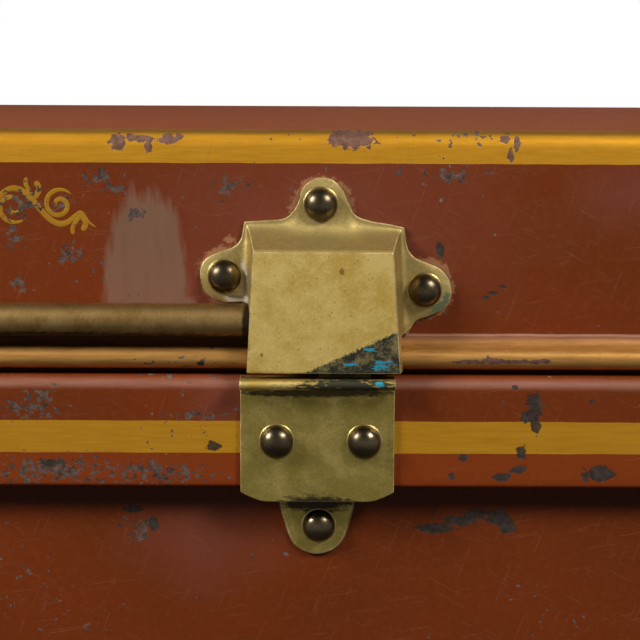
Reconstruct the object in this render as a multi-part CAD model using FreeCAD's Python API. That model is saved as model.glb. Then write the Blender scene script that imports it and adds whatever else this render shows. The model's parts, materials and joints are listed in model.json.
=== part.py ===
"""Ship trunk of painted sheet steel with brass fittings, as separate pieces.

Frame: millimetres, +Z up, front towards -Y, origin at the middle of the underside.
A lid is hinged along the back.  Two brass bolt rods run along the front of the lid.  A quarter turn of
the lock barrel in the middle drives both rods outwards through racks, and their blades slide under the
hooks of two keepers on the body's collar.
"""

import FreeCAD
import Part

import math
import os

Vec = FreeCAD.Vector
X_AXIS, Y_AXIS, Z_AXIS = Vec(1, 0, 0), Vec(0, 1, 0), Vec(0, 0, 1)

# Sheet-metal case
SHEET = 0.9
BODY_LENGTH = 840.0
BODY_WIDTH = 430.0
BODY_HEIGHT = 230.0          # floor to the joint of lid and collar
CORNER_R = 24.0              # outside of the body wall
MOUTH_UPSTAND = 14.0         # wall standing up inside the lid
SEAM_GAP = 0.05              # soldered and folded joints
FOOT_FLANGE = 3.0            # wall's foot, turned out on the bottom
COLLAR_DEPTH = 8.0
COLLAR_HEIGHT = 31.75
COLLAR_TOP_R = 4.0
COLLAR_FOOT_R = 1.5

# Lid
LID_HEIGHT = 68.0
LID_GAP = 0.8                # between the wall and the lid's skirt
LID_EDGE_R = 5.0
BEAD_R = 3.1                 # wired rim of the lid
BEAD_LIFT = 0.8              # bead's underside above the joint
BEAD_OUT = 2.9               # bead's centre in front of the lid's face
COVE_TOP = 10.6              # where the skirt starts to flare to the bead
WIRE_GAP = 0.05

# Dome-headed rivets
RIVET_HEAD_R = 4.76
RIVET_HEAD_H = 4.2
RIVET_SHANK_R = 2.0
RIVET_TAIL_R = 3.0
RIVET_TAIL_H = 1.0
RIVET_FIT = 0.05

# Latch boxes on the lid, one at each side of the lock
LATCH_FROM_END = 195.0       # middle of a latch box from the end wall
PLATE = 1.2                  # brass sheet of the fittings
BOX_DEPTH = 11.7             # face of the box in front of the lid's face
BOX_TOP = 41.6               # above the joint
BOX_FACE_TOP = 34.6
BOX_FOOT = 0.75
BOX_BASE_LEFT = -21.4
BOX_BASE_RIGHT = 23.0
BOX_FACE_TOP_LEFT = -18.5
BOX_FACE_TOP_RIGHT = 20.2
BOX_FACE_FOOT_LEFT = -20.3
BOX_FACE_FOOT_RIGHT = 22.6
FLANGE_FOOT_LEFT = 20.0      # the flange stops above the rod on this side
FLANGE_FOOT_RIGHT = 11.5
FLANGE_STRIP = 3.2
EAR_R = 7.3
EAR_ROOT = 10.2              # half width where the top ear leaves the box
EAR_TOP = (0.1, 47.2)
EAR_LEFT = (-27.0, 26.8)
EAR_RIGHT = (29.6, 23.1)

# Keepers on the collar
KEEPER_SHIFT = -0.6          # the keeper stands a little to the inner side of its box
KEEPER_HALF = 21.9
KEEPER_CORNER = 33.9         # below the joint, where the corners are clipped
KEEPER_FOOT = 36.8
KEEPER_CLIP = 6.0
LIP_TOP = 1.0
LIP_FOOT = 3.8
LIP_REACH = 6.7              # in front of the collar's face
KEEPER_RIVET_X = 12.4
KEEPER_RIVET_DROP = 19.2
KEEPER_EAR_HALF = 11.0
KEEPER_EAR_DROP = 45.5
KEEPER_EAR_R = 8.2
TONGUE_BACK = 6.8            # in front of the lid's face, so that the bead passes behind it
TONGUE_THICK = 2.5
TONGUE_WIDTH = 15.0
TONGUE_STEM = 4.4
TONGUE_TOP = 25.0

# Bolt rods and their drive
ROD_R = 4.7625
ROD_LIFT = 14.8              # rod axis above the joint
ROD_GAP = 0.3
ROD_HOLE_GAP = 0.3
BLADE_HEIGHT = 5.6
BLADE_THICK = 2.1
BLADE_GAP = 0.35             # blade in the tongue's notch, all round
ROD_TIP_GAP = 0.5            # end of the round rod to the tongue, bolts shot
GEAR_MODULE = 1.0
GEAR_TEETH = 15
GEAR_THICK = 3.0
GEAR_BACK = 6.9              # in front of the lid's face, clear of the bead
BACKLASH = 0.22
RACK_ADDENDUM = 0.8
TOOTH_ROOT = 1.25
TOOTH_TIP = 0.9
PRESSURE_ANGLE = 20.0
RACK_BACK = 3.0
RACK_SPARE = 4.5             # teeth beyond the contact at each end of the stroke
TURN_DEG = 90.0

# Lock case in the middle of the lid
CASE_TAPER = 3.0
CASE_SPARE = 1.0             # between the racks and the case's ends, bolts shot
CASE_DEPTH = 12.6
CASE_EAR_OUT = 6.0
CASE_EAR_LIFT = 25.0
CASE_FLANGE_FOOT = 20.0
PIVOT_R = 3.0
BARREL_R = 5.8
BARREL_PROUD = 0.9
RUNNING = 0.05
KEYHOLE_R = 1.6
KEYHOLE_SLOT = 1.5
KEYHOLE_DROP = 4.4
KEYHOLE_DEPTH = 6.0
COVER_PIVOT = 10.4           # above the barrel's centre
COVER_R = 6.6
COVER_TOP_R = 4.0
COVER_THICK = 1.2
COVER_GAP = 0.3
COVER_PIN_R = 1.5
COVER_PIN_HEAD_R = 2.8
COVER_PIN_HEAD_H = 1.6

# Hinges on the back
HINGE_FROM_END = 141.0
HINGE_WIDTH = 60.0
HINGE_BARREL_R = 4.75
HINGE_GAP = 1.2              # barrel clear of the collar's face
HINGE_PIN_R = 2.2
HINGE_LEAF = 1.6
HINGE_KNUCKLE_GAP = 0.3
HINGE_DROP = 29.0
HINGE_LIFT_TOP = 48.0
HINGE_LIFT_FOOT = 14.5
HINGE_RIVET_X = 20.0
HINGE_RIVET_DROP = 18.0
HINGE_RIVET_LIFT = 33.0
HINGE_CREST = 5.0            # height of the leaf's swan neck beside the barrel

# Carrying handles on the ends
HANDLE_BELOW = 70.0          # pivot below the joint of lid and collar
HANDLE_OUT = 10.0            # pivot in front of the end wall
HANDLE_ROD_R = 4.0
HANDLE_ARM_Y = 52.0
HANDLE_DROP = 46.0
HANDLE_BEND_R = 14.0
HANDLE_ELBOW_R = 6.0
HANDLE_STUB = 15.0           # from the arm's line to the stub's end
HANDLE_GRIP_R = 6.4
HANDLE_GRIP_HALF = 34.0
LUG_R = 6.6
LUG_HALF = 3.9
LUG_PLATE = 2.0
LUG_PLATE_HALF_Y = 15.0
LUG_PLATE_HALF_Z = 24.0
LUG_RIVET_Z = 16.0

# Values worked out from those above
LATCH_X = BODY_LENGTH / 2 - LATCH_FROM_END
HINGE_X = BODY_LENGTH / 2 - HINGE_FROM_END
HANDLE_LIFT = BODY_HEIGHT - HANDLE_BELOW
LID_OUT = LID_GAP + SHEET                       # lid's face in front of the wall's face
FACE_Y = -(BODY_WIDTH / 2 + LID_OUT)            # lid's front face
COLLAR_OUT = COLLAR_DEPTH - LID_OUT             # collar's face in front of the lid's face
ROD_OUT = ROD_GAP + ROD_R
GEAR_R = GEAR_MODULE * GEAR_TEETH / 2
STROKE = GEAR_R * math.radians(TURN_DEG)
RACK_LINE = GEAR_R
ROD_START = RACK_SPARE + STROKE + GEAR_MODULE * math.pi
CASE_HALF = ROD_START + ROD_R + STROKE + CASE_SPARE + PLATE + CASE_TAPER
CASE_EAR_X = CASE_HALF + CASE_EAR_OUT


def polygon_face(points):
    """Flat face through the given vectors."""
    return Part.Face(Part.makePolygon(points + points[:1]))


def front_prism(outline, back, front):
    """Plate in front of the lid's face: an outline of (x, z), from back to front, both measured outwards."""
    face = polygon_face([Vec(x, -back, z) for x, z in outline])
    return face.extrude(Vec(0, back - front, 0))


def front_disc(x, z, radius, back, front):
    """Round plate or hole across the lid's face."""
    return Part.makeCylinder(radius, front - back, Vec(x, -back, z), -Y_AXIS)


def place_front(shape, x=0.0):
    """Moves a piece from the fittings' own frame (lid's face, joint height) to the trunk."""
    shape.translate(Vec(x, FACE_Y, BODY_HEIGHT))
    return shape


def fused(shapes):
    """One solid from touching pieces."""
    return shapes[0].multiFuse(shapes[1:]).removeSplitter()


def mirrored(shape):
    """The same piece for the trunk's other end."""
    return shape.mirror(Vec(0, 0, 0), X_AXIS)


def save(name, *solids):
    """Writes one node, with each piece as its own solid."""
    shape = solids[0] if len(solids) == 1 else Part.makeCompound(list(solids))
    if not shape.isValid():
        raise ValueError(f"{name} is not a valid shape")
    shape.exportStep(f"parts/{name}.step")


# Rings: a profile of (outward, height) carried round the body's rounded rectangle

def ring_sheets(profile):
    """Profile face in the XZ plane (X outward from the wall's face), carried round the wall's outline.

    Returns one solid for each side; each bends half-way round its two corners, where the sheets meet.
    """
    run_x = BODY_LENGTH / 2 - CORNER_R
    run_y = BODY_WIDTH / 2 - CORNER_R
    sides = {}
    for name, turn, along, across in (("right", 0, run_y, run_x), ("back", 90, run_x, run_y),
                                      ("left", 180, run_y, run_x), ("front", 270, run_x, run_y)):
        straight = profile.copy()
        straight.translate(Vec(across + CORNER_R, -along, 0))
        pieces = [straight.extrude(Vec(0, 2 * along, 0))]
        for end in (-1, 1):
            bend = profile.copy()
            bend.translate(Vec(CORNER_R, 0, 0))
            bend = bend.revolve(Vec(0, 0, 0), Z_AXIS, end * 45)
            bend.translate(Vec(across, end * along, 0))
            pieces.append(bend)
        sides[name] = fused(pieces)
        sides[name].rotate(Vec(0, 0, 0), Z_AXIS, turn)
    return sides


def ring(profile):
    """The same all round, in one piece."""
    return fused(list(ring_sheets(profile).values()))


def path_wire(steps):
    """Closed path of (outward, height) points; a step of two points is an arc through them."""
    edges = []
    last = Vec(steps[0][0], 0, steps[0][1])
    for step in steps[1:]:
        end = Vec(step[-2], 0, step[-1])
        if len(step) == 4:
            edges.append(Part.Arc(last, Vec(step[0], 0, step[1]), end).toShape())
        else:
            edges.append(Part.LineSegment(last, end).toShape())
        last = end
    return Part.Wire(edges)


def path_face(steps):
    """Face inside such a path."""
    return Part.Face(path_wire(steps))


def round_mid(centre_x, centre_z, radius, degrees):
    """Middle point of an arc, as (outward, height)."""
    turn = math.radians(degrees)
    return centre_x + radius * math.cos(turn), centre_z + radius * math.sin(turn)


def rounded_plate(outset, z, thick):
    """Flat sheet with the wall's outline, set outwards by outset."""
    half_x = BODY_LENGTH / 2 + outset
    half_y = BODY_WIDTH / 2 + outset
    block = Part.makeBox(2 * half_x, 2 * half_y, thick, Vec(-half_x, -half_y, z))
    upright = [e for e in block.Edges if abs(e.tangentAt(e.FirstParameter).z) > 0.5]
    return block.makeFillet(CORNER_R + outset, upright)


# Case

def body_walls():
    """Sheets of the wall, turned out at the foot and standing up inside the lid."""
    top = BODY_HEIGHT + MOUTH_UPSTAND
    profile = path_face([(-SHEET, SHEET), (FOOT_FLANGE, SHEET), (FOOT_FLANGE, 2 * SHEET), (0, 2 * SHEET),
                         (0, top), (-SHEET, top), (-SHEET, SHEET)])
    return ring_sheets(profile)


def bottom_pan():
    """Flat bottom whose edge is folded over the wall's foot."""
    inner = FOOT_FLANGE + SEAM_GAP
    outer = inner + SHEET
    under = 2 * SHEET + SEAM_GAP
    hem = path_face([(inner, 0), (outer, 0), (outer, under + SHEET), (SHEET, under + SHEET), (SHEET, under),
                     (inner, under), (inner, 0)])
    return fused([rounded_plate(inner, 0, SHEET), ring(hem)])


def collar_bands():
    """Hollow band round the mouth; the lid's bead closes down on it."""
    top, foot = BODY_HEIGHT, BODY_HEIGHT - COLLAR_HEIGHT
    out, inside = COLLAR_DEPTH, COLLAR_DEPTH - SHEET
    top_in = COLLAR_TOP_R - SHEET
    foot_in = COLLAR_FOOT_R - SHEET
    top_x, top_z = out - COLLAR_TOP_R, top - COLLAR_TOP_R
    foot_x, foot_z = out - COLLAR_FOOT_R, foot + COLLAR_FOOT_R
    profile = path_face([
        (SEAM_GAP, top), (top_x, top), (*round_mid(top_x, top_z, COLLAR_TOP_R, 45), out, top_z),
        (out, foot_z), (*round_mid(foot_x, foot_z, COLLAR_FOOT_R, -45), foot_x, foot),
        (SEAM_GAP, foot), (SEAM_GAP, foot + SHEET),
        (foot_x, foot + SHEET), (*round_mid(foot_x, foot_z, foot_in, -45), inside, foot_z),
        (inside, top_z), (*round_mid(top_x, top_z, top_in, 45), top_x, top - SHEET),
        (SEAM_GAP, top - SHEET), (SEAM_GAP, top)])
    return ring_sheets(profile)


BEAD_X = LID_OUT + BEAD_OUT
BEAD_Z = BODY_HEIGHT + BEAD_LIFT + BEAD_R


def lid_skirts():
    """Sheets of the lid's skirt: rounded in at the top, flared and rolled round a wire at the rim."""
    top, crease = BODY_HEIGHT + LID_HEIGHT, BODY_HEIGHT + COVE_TOP
    out, inside = LID_OUT, LID_GAP
    edge_x, edge_z = out - LID_EDGE_R, top - LID_EDGE_R
    crown = round_mid(BEAD_X, BEAD_Z, BEAD_R, 80)
    heel = round_mid(BEAD_X, BEAD_Z, BEAD_R, 170)
    cove = ((out + crown[0]) / 2 - SHEET / 2, (crease + crown[1]) / 2 - SHEET / 2)
    outline = path_wire([
        (edge_x, top), (*round_mid(edge_x, edge_z, LID_EDGE_R, 45), out, edge_z),
        (out, crease), (*cove, *crown), (*round_mid(BEAD_X, BEAD_Z, BEAD_R, 0), BEAD_X, BEAD_Z - BEAD_R),
        (*round_mid(BEAD_X, BEAD_Z, BEAD_R, 220), *heel), (inside, crease - SHEET),
        (inside, edge_z), (*round_mid(edge_x, edge_z, LID_EDGE_R - SHEET, 45), edge_x, top - SHEET),
        (edge_x, top)])
    bore = Part.Wire(Part.makeCircle(BEAD_R - SHEET, Vec(BEAD_X, 0, BEAD_Z), Y_AXIS))
    return ring_sheets(Part.makeFace([outline, bore], "Part::FaceMakerBullseye"))


def lid_rim_wire():
    """Steel wire that the lid's rim is rolled round."""
    radius = BEAD_R - SHEET - WIRE_GAP
    return ring(Part.Face(Part.Wire(Part.makeCircle(radius, Vec(BEAD_X, 0, BEAD_Z), Y_AXIS))))


def lid_top():
    """Flat top sheet, soldered edge to edge with the skirt's rounded shoulder."""
    return rounded_plate(LID_OUT - LID_EDGE_R - SEAM_GAP, BODY_HEIGHT + LID_HEIGHT - SHEET, SHEET)


# Rivets: a dome head, a shank and a clenched tail; grip is the thickness that they hold

def rivet(grip):
    """Rivet along +X, with its head's underside at the origin and its shank towards -X."""
    sphere_r = (RIVET_HEAD_R ** 2 + RIVET_HEAD_H ** 2) / (2 * RIVET_HEAD_H)
    ball = Part.makeSphere(sphere_r, Vec(RIVET_HEAD_H - sphere_r, 0, 0))
    keep = Part.makeBox(RIVET_HEAD_H, 4 * sphere_r, 4 * sphere_r, Vec(0, -2 * sphere_r, -2 * sphere_r))
    shank = Part.makeCylinder(RIVET_SHANK_R, grip, Vec(-grip, 0, 0), X_AXIS)
    tail = Part.makeCylinder(RIVET_TAIL_R, RIVET_TAIL_H, Vec(-grip - RIVET_TAIL_H, 0, 0), X_AXIS)
    return fused([ball.common(keep), shank, tail])


def rivet_hole(grip):
    """Clearance hole for such a rivet."""
    reach = grip + RIVET_TAIL_H
    return Part.makeCylinder(RIVET_SHANK_R + RIVET_FIT, 2 * reach, Vec(-reach, 0, 0), X_AXIS)


def facing(shape, direction, x, y, z):
    """Turns a rivet about the upright axis so that its head faces a side, and puts it in place."""
    shape.rotate(Vec(0, 0, 0), Z_AXIS, {"right": 0, "back": 90, "left": 180, "front": 270}[direction])
    shape.translate(Vec(x, y, z))
    return shape


LATCH_RIVETS = [EAR_TOP, EAR_LEFT, EAR_RIGHT]
CASE_RIVETS = [(-CASE_EAR_X, CASE_EAR_LIFT), (CASE_EAR_X, CASE_EAR_LIFT), (0.0, EAR_TOP[1])]
LID_GRIP = PLATE + SHEET


def lid_front(make, x, z, direction="front"):
    """A rivet or its hole through a fitting's flange and the lid's front."""
    return facing(make(LID_GRIP), direction, x, FACE_Y - PLATE, BODY_HEIGHT + z)


def latch_and_lock_holes():
    """Rivet holes in the lid's front, and the hole for the lock's rear pivot stays in its back plate."""
    holes = [lid_front(rivet_hole, x, z) for x, z in CASE_RIVETS]
    for x, z in LATCH_RIVETS:
        hole = lid_front(rivet_hole, LATCH_X + x, z)
        holes += [hole, mirrored(hole)]
    return holes


# Latch boxes

def ear(x, z, root):
    """Round ear about (x, z), spread at its root; root is two (x, z) points on the box."""
    disc = front_disc(x, z, EAR_R, 0, PLATE)
    (ax, az), (bx, bz) = root
    long = math.hypot(bx - ax, bz - az)
    side = ((bx - ax) / long * EAR_R, (bz - az) / long * EAR_R)
    neck = front_prism([(ax, az), (x - side[0], z - side[1]), (x + side[0], z + side[1]), (bx, bz)], 0, PLATE)
    return disc.fuse(neck)


def frustum(base, face, depth):
    """Raised box with flat sides, from a base outline of (x, z) on the lid's face to a smaller one at depth."""
    low = [Vec(x, 0, z) for x, z in base]
    high = [Vec(x, -depth, z) for x, z in face]
    turns = range(len(low))
    sides = [polygon_face([low[i - 1], low[i], high[i], high[i - 1]]) for i in turns]
    return Part.Solid(Part.Shell([polygon_face(low), polygon_face(high)] + sides))


BOX_SLOPE_LEFT = (BOX_FACE_TOP_LEFT - BOX_FACE_FOOT_LEFT) / (BOX_FACE_TOP - BOX_FOOT)
BOX_SLOPE_RIGHT = (BOX_FACE_TOP_RIGHT - BOX_FACE_FOOT_RIGHT) / (BOX_FACE_TOP - BOX_FOOT)


def box_outline(left, right, at, foot, top):
    """Four-sided outline with the box's slopes; left and right are given at height at."""
    def left_x(z):
        return left + BOX_SLOPE_LEFT * (z - at)

    def right_x(z):
        return right + BOX_SLOPE_RIGHT * (z - at)

    return [(left_x(foot), foot), (right_x(foot), foot), (right_x(top), top), (left_x(top), top)]


def bead_notch(half):
    """Room for the lid's bead and cove under a fitting that reaches down over them."""
    reach = BEAD_OUT + BEAD_R + LID_GAP
    return front_prism([(-half, -COVE_TOP), (half, -COVE_TOP), (half, COVE_TOP), (-half, COVE_TOP)], -1, reach)


def rod_way(x_from, x_to):
    """Way for a bolt rod through the side of a box: round in front, open at the back."""
    length = x_to - x_from
    radius = ROD_R + ROD_HOLE_GAP
    bore = Part.makeCylinder(radius, length, Vec(x_from, -ROD_OUT, ROD_LIFT), X_AXIS)
    low, high = ROD_LIFT - radius, ROD_LIFT + radius
    slot = front_prism([(x_from, low), (x_to, low), (x_to, high), (x_from, high)], -PLATE, ROD_OUT)
    return bore.fuse(slot)


def latch_box():
    """Pressed brass box with three riveted ears, open below for the keeper's tongue (right-hand one)."""
    cut_low = BOX_FOOT - PLATE
    left, right, top = BOX_BASE_LEFT + PLATE, BOX_BASE_RIGHT - PLATE, BOX_TOP - PLATE
    base = box_outline(BOX_BASE_LEFT, BOX_BASE_RIGHT, BOX_TOP, BOX_FOOT, BOX_TOP)
    face = box_outline(BOX_FACE_TOP_LEFT, BOX_FACE_TOP_RIGHT, BOX_FACE_TOP, BOX_FOOT, BOX_FACE_TOP)
    hollow_base = box_outline(left, right, BOX_TOP, cut_low, top)
    hollow_face = box_outline(BOX_FACE_TOP_LEFT + PLATE, BOX_FACE_TOP_RIGHT - PLATE, BOX_FACE_TOP, cut_low,
                              BOX_FACE_TOP - PLATE / 2)
    left_root = [(left, EAR_LEFT[1] + EAR_ROOT), (left, FLANGE_FOOT_LEFT)]
    right_root = [(right, EAR_RIGHT[1] + EAR_ROOT), (right, EAR_RIGHT[1] - EAR_ROOT)]
    top_root = [(EAR_TOP[0] - EAR_ROOT, top), (EAR_TOP[0] + EAR_ROOT, top)]
    strip = [(BOX_BASE_RIGHT - PLATE, FLANGE_FOOT_RIGHT), (BOX_BASE_RIGHT + FLANGE_STRIP, FLANGE_FOOT_RIGHT),
             (BOX_BASE_RIGHT + FLANGE_STRIP, EAR_RIGHT[1]), (BOX_BASE_RIGHT - PLATE, EAR_RIGHT[1])]
    flanges = [ear(*EAR_TOP, top_root), ear(*EAR_LEFT, left_root), ear(*EAR_RIGHT, right_root),
               front_prism(strip, 0, PLATE)]
    box = fused([frustum(base, face, BOX_DEPTH)] + flanges)
    box = box.cut(frustum(hollow_base, hollow_face, BOX_DEPTH - PLATE))
    box = box.cut(bead_notch(2 * KEEPER_HALF))
    box = box.cut(rod_way(2 * BOX_BASE_LEFT, 0))
    for x, z in LATCH_RIVETS:
        box = box.cut(front_disc(x, z, RIVET_SHANK_R + RIVET_FIT, -PLATE, 2 * PLATE))
    return box


# Keepers, built for the right-hand box

def keeper_plate():
    """Plate on the collar with a lip under the box and an ear that reaches back to the wall."""
    back, front = COLLAR_OUT, COLLAR_OUT + PLATE
    wall = -LID_OUT
    half, clip = KEEPER_HALF, KEEPER_CLIP
    outline = [(-half, -LIP_TOP), (half, -LIP_TOP), (half, -KEEPER_CORNER), (half - clip, -KEEPER_FOOT),
               (clip - half, -KEEPER_FOOT), (-half, -KEEPER_CORNER)]
    lip = [(-half, -LIP_FOOT), (half, -LIP_FOOT), (half, -LIP_TOP), (-half, -LIP_TOP)]
    web_half = KEEPER_EAR_HALF
    web = [(-web_half, -KEEPER_FOOT), (web_half, -KEEPER_FOOT), (web_half, PLATE - KEEPER_FOOT),
           (-web_half, PLATE - KEEPER_FOOT)]
    neck = [(-web_half, -KEEPER_FOOT), (web_half, -KEEPER_FOOT), (KEEPER_EAR_R, -KEEPER_EAR_DROP),
            (-KEEPER_EAR_R, -KEEPER_EAR_DROP)]
    plate = fused([front_prism(outline, back, front), front_prism(lip, back, COLLAR_OUT + LIP_REACH),
                   front_prism(web, wall, front), front_prism(neck, wall, wall + PLATE),
                   front_disc(0, -KEEPER_EAR_DROP, KEEPER_EAR_R, wall, wall + PLATE)])
    bore = RIVET_SHANK_R + RIVET_FIT
    for x in (-KEEPER_RIVET_X, KEEPER_RIVET_X):
        plate = plate.cut(front_disc(x, -KEEPER_RIVET_DROP, bore, wall, 2 * front))
    return plate.cut(front_disc(0, -KEEPER_EAR_DROP, bore, wall - PLATE, front))


def keeper_tongue():
    """Hook that stands on the lip inside the box; the bolt's blade slides into its notch."""
    low = ROD_LIFT - BLADE_HEIGHT / 2 - BLADE_GAP
    high = ROD_LIFT + BLADE_HEIGHT / 2 + BLADE_GAP
    stem = TONGUE_WIDTH - TONGUE_STEM
    outline = [(0, -LIP_TOP), (TONGUE_WIDTH, -LIP_TOP), (TONGUE_WIDTH, TONGUE_TOP), (0, TONGUE_TOP), (0, high),
               (stem, high), (stem, low), (0, low)]
    return front_prism(outline, TONGUE_BACK, TONGUE_BACK + TONGUE_THICK)


def keeper_rivet(make, x, drop, depth):
    """A rivet or its hole through the keeper and the sheet behind it; depth is the sheet's face."""
    place = Vec(LATCH_X + KEEPER_SHIFT + x, FACE_Y - depth - PLATE, BODY_HEIGHT - drop)
    return facing(make(PLATE + SHEET), "front", *place)


KEEPER_RIVETS = [(-KEEPER_RIVET_X, KEEPER_RIVET_DROP, COLLAR_OUT), (KEEPER_RIVET_X, KEEPER_RIVET_DROP, COLLAR_OUT),
                 (0.0, KEEPER_EAR_DROP, -LID_OUT)]


# Bolt rods and racks, built for the right-hand side with the bolts drawn

TONGUE_X = LATCH_X + KEEPER_SHIFT
ROD_END = TONGUE_X - ROD_TIP_GAP - STROKE
BLADE_END = TONGUE_X + TONGUE_WIDTH - TONGUE_STEM - BLADE_GAP - STROKE


def bolt_rod():
    """Round rod with a flat blade at its outer end."""
    rod = Part.makeCylinder(ROD_R, ROD_END - ROD_START, Vec(ROD_START, -ROD_OUT, ROD_LIFT), X_AXIS)
    back = TONGUE_BACK + (TONGUE_THICK - BLADE_THICK) / 2
    half = BLADE_HEIGHT / 2
    outline = [(ROD_END - ROD_R, ROD_LIFT - half), (BLADE_END, ROD_LIFT - half), (BLADE_END, ROD_LIFT + half),
               (ROD_END - ROD_R, ROD_LIFT + half)]
    blade = front_prism(outline, back, back + BLADE_THICK)
    seat = [(ROD_START - ROD_R, ROD_LIFT - 2 * ROD_R), (ROD_START + ROD_R, ROD_LIFT - 2 * ROD_R),
            (ROD_START + ROD_R, ROD_LIFT + 2 * ROD_R), (ROD_START - ROD_R, ROD_LIFT + 2 * ROD_R)]
    return fused([rod, blade]).cut(front_prism(seat, GEAR_BACK, 2 * CASE_DEPTH))


def rack(side):
    """Toothed strip and its arm to the rod.  side 1: above the pinion, for the right rod; -1: below it, turned over."""
    pitch = math.pi * GEAR_MODULE
    slope = math.tan(math.radians(PRESSURE_ANGLE))
    half_tooth = pitch / 4 - BACKLASH / 2
    root, tip = TOOTH_ROOT, -RACK_ADDENDUM
    first = -STROKE - RACK_SPARE
    shift = pitch / 2 if side > 0 else 0.0
    teeth = [shift + pitch * k for k in range(-12, 13) if first < shift + pitch * k < RACK_SPARE]
    line = [(min(teeth) - pitch / 2, root)]
    for middle in teeth:
        wide, narrow = half_tooth + root * slope, half_tooth + tip * slope
        line += [(middle - wide, root), (middle - narrow, tip), (middle + narrow, tip), (middle + wide, root)]
    end = ROD_START + ROD_R
    line += [(ROD_START - ROD_R, root), (ROD_START - ROD_R, -RACK_LINE - ROD_R), (end, -RACK_LINE - ROD_R),
             (end, root + RACK_BACK), (min(teeth) - pitch / 2, root + RACK_BACK)]
    outline = [(side * x, ROD_LIFT + side * (RACK_LINE + z)) for x, z in line]
    return front_prism(outline, GEAR_BACK, GEAR_BACK + GEAR_THICK)


def involute(angle):
    """Involute function of a pressure angle in radians."""
    return math.tan(angle) - angle


def pinion_outline():
    """Closed outline of the pinion's teeth about (0, ROD_LIFT), with one tooth upright."""
    pressure = math.radians(PRESSURE_ANGLE)
    base = GEAR_R * math.cos(pressure)
    half = (math.pi * GEAR_MODULE / 2 - BACKLASH) / (2 * GEAR_R)
    root, tip = GEAR_R - TOOTH_ROOT, GEAR_R + TOOTH_TIP
    flank = []
    for radius in (root, base, GEAR_R, (GEAR_R + tip) / 2, tip):
        at = math.acos(min(1.0, base / radius))
        flank.append((radius, half + involute(pressure) - involute(at)))
    points = []
    for tooth in range(GEAR_TEETH):
        middle = 2 * math.pi * tooth / GEAR_TEETH
        for radius, turn in [(r, -a) for r, a in flank] + [(r, a) for r, a in reversed(flank)]:
            points.append((radius * math.sin(middle + turn), ROD_LIFT + radius * math.cos(middle + turn)))
    return points


BARREL_FRONT = CASE_DEPTH + BARREL_PROUD


def lock_barrel():
    """Pinion, rear pivot and barrel in one turning, with the keyhole in the barrel's face."""
    gear = front_prism(pinion_outline(), GEAR_BACK, GEAR_BACK + GEAR_THICK)
    pivot = front_disc(0, ROD_LIFT, PIVOT_R, RUNNING, GEAR_BACK)
    barrel = front_disc(0, ROD_LIFT, BARREL_R, GEAR_BACK + GEAR_THICK, BARREL_FRONT)
    hole = front_disc(0, ROD_LIFT, KEYHOLE_R, BARREL_FRONT - KEYHOLE_DEPTH, BARREL_FRONT + 1)
    half = KEYHOLE_SLOT / 2
    slot = [(-half, ROD_LIFT - KEYHOLE_DROP), (half, ROD_LIFT - KEYHOLE_DROP), (half, ROD_LIFT), (-half, ROD_LIFT)]
    slot = front_prism(slot, BARREL_FRONT - KEYHOLE_DEPTH, BARREL_FRONT + 1)
    return fused([gear, pivot, barrel]).cut(fused([hole, slot]))


def lock_case():
    """Raised cover over the lock, with an ear at each side and one above."""
    foot = BOX_FOOT
    base = [(-CASE_HALF, foot), (CASE_HALF, foot), (CASE_HALF, BOX_TOP), (-CASE_HALF, BOX_TOP)]
    inner = CASE_HALF - CASE_TAPER
    face = [(-inner, foot), (inner, foot), (inner, BOX_FACE_TOP), (-inner, BOX_FACE_TOP)]
    floor = foot + PLATE
    cut_base = [(PLATE - CASE_HALF, floor), (CASE_HALF - PLATE, floor), (CASE_HALF - PLATE, BOX_TOP - PLATE),
                (PLATE - CASE_HALF, BOX_TOP - PLATE)]
    cut_face = [(PLATE - inner, floor), (inner - PLATE, floor), (inner - PLATE, BOX_FACE_TOP - PLATE / 2),
                (PLATE - inner, BOX_FACE_TOP - PLATE / 2)]
    flanges = []
    for side in (-1, 1):
        root_x = side * (CASE_HALF - PLATE)
        root = [(root_x, CASE_EAR_LIFT + EAR_ROOT), (root_x, CASE_FLANGE_FOOT)]
        flanges.append(ear(side * CASE_EAR_X, CASE_EAR_LIFT, root))
    flanges.append(ear(0, EAR_TOP[1], [(-EAR_ROOT, BOX_TOP - PLATE), (EAR_ROOT, BOX_TOP - PLATE)]))
    case = fused([frustum(base, face, CASE_DEPTH)] + flanges)
    case = case.cut(frustum(cut_base, cut_face, CASE_DEPTH - PLATE))
    case = case.cut(bead_notch(2 * CASE_HALF)).cut(rod_way(-2 * CASE_HALF, 2 * CASE_HALF))
    case = case.cut(front_disc(0, ROD_LIFT, BARREL_R + RUNNING, PLATE, 2 * CASE_DEPTH))
    for x, z in CASE_RIVETS:
        case = case.cut(front_disc(x, z, RIVET_SHANK_R + RIVET_FIT, -PLATE, 2 * PLATE))
    return case.cut(front_disc(0, ROD_LIFT + COVER_PIVOT, COVER_PIN_R + RIVET_FIT, PLATE, 2 * CASE_DEPTH))


def lock_back_plate():
    """Plate behind the lock that carries the barrel's rear pivot."""
    half = ROD_START - 2 * PLATE
    low, high = COVE_TOP, BOX_TOP - 2 * PLATE
    plate = front_prism([(-half, low), (half, low), (half, high), (-half, high)], 0, PLATE)
    boss = front_disc(0, ROD_LIFT, PIVOT_R + PLATE, 0, GEAR_BACK - COVER_GAP)
    below = front_prism([(-half, 0), (half, 0), (half, low), (-half, low)], -PLATE, BEAD_OUT + BEAD_R + COVER_GAP)
    hole = front_disc(0, ROD_LIFT, PIVOT_R + RUNNING, -PLATE, CASE_DEPTH)
    return fused([plate, boss]).cut(below).cut(hole)


COVER_BACK = BARREL_FRONT + COVER_GAP


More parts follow.
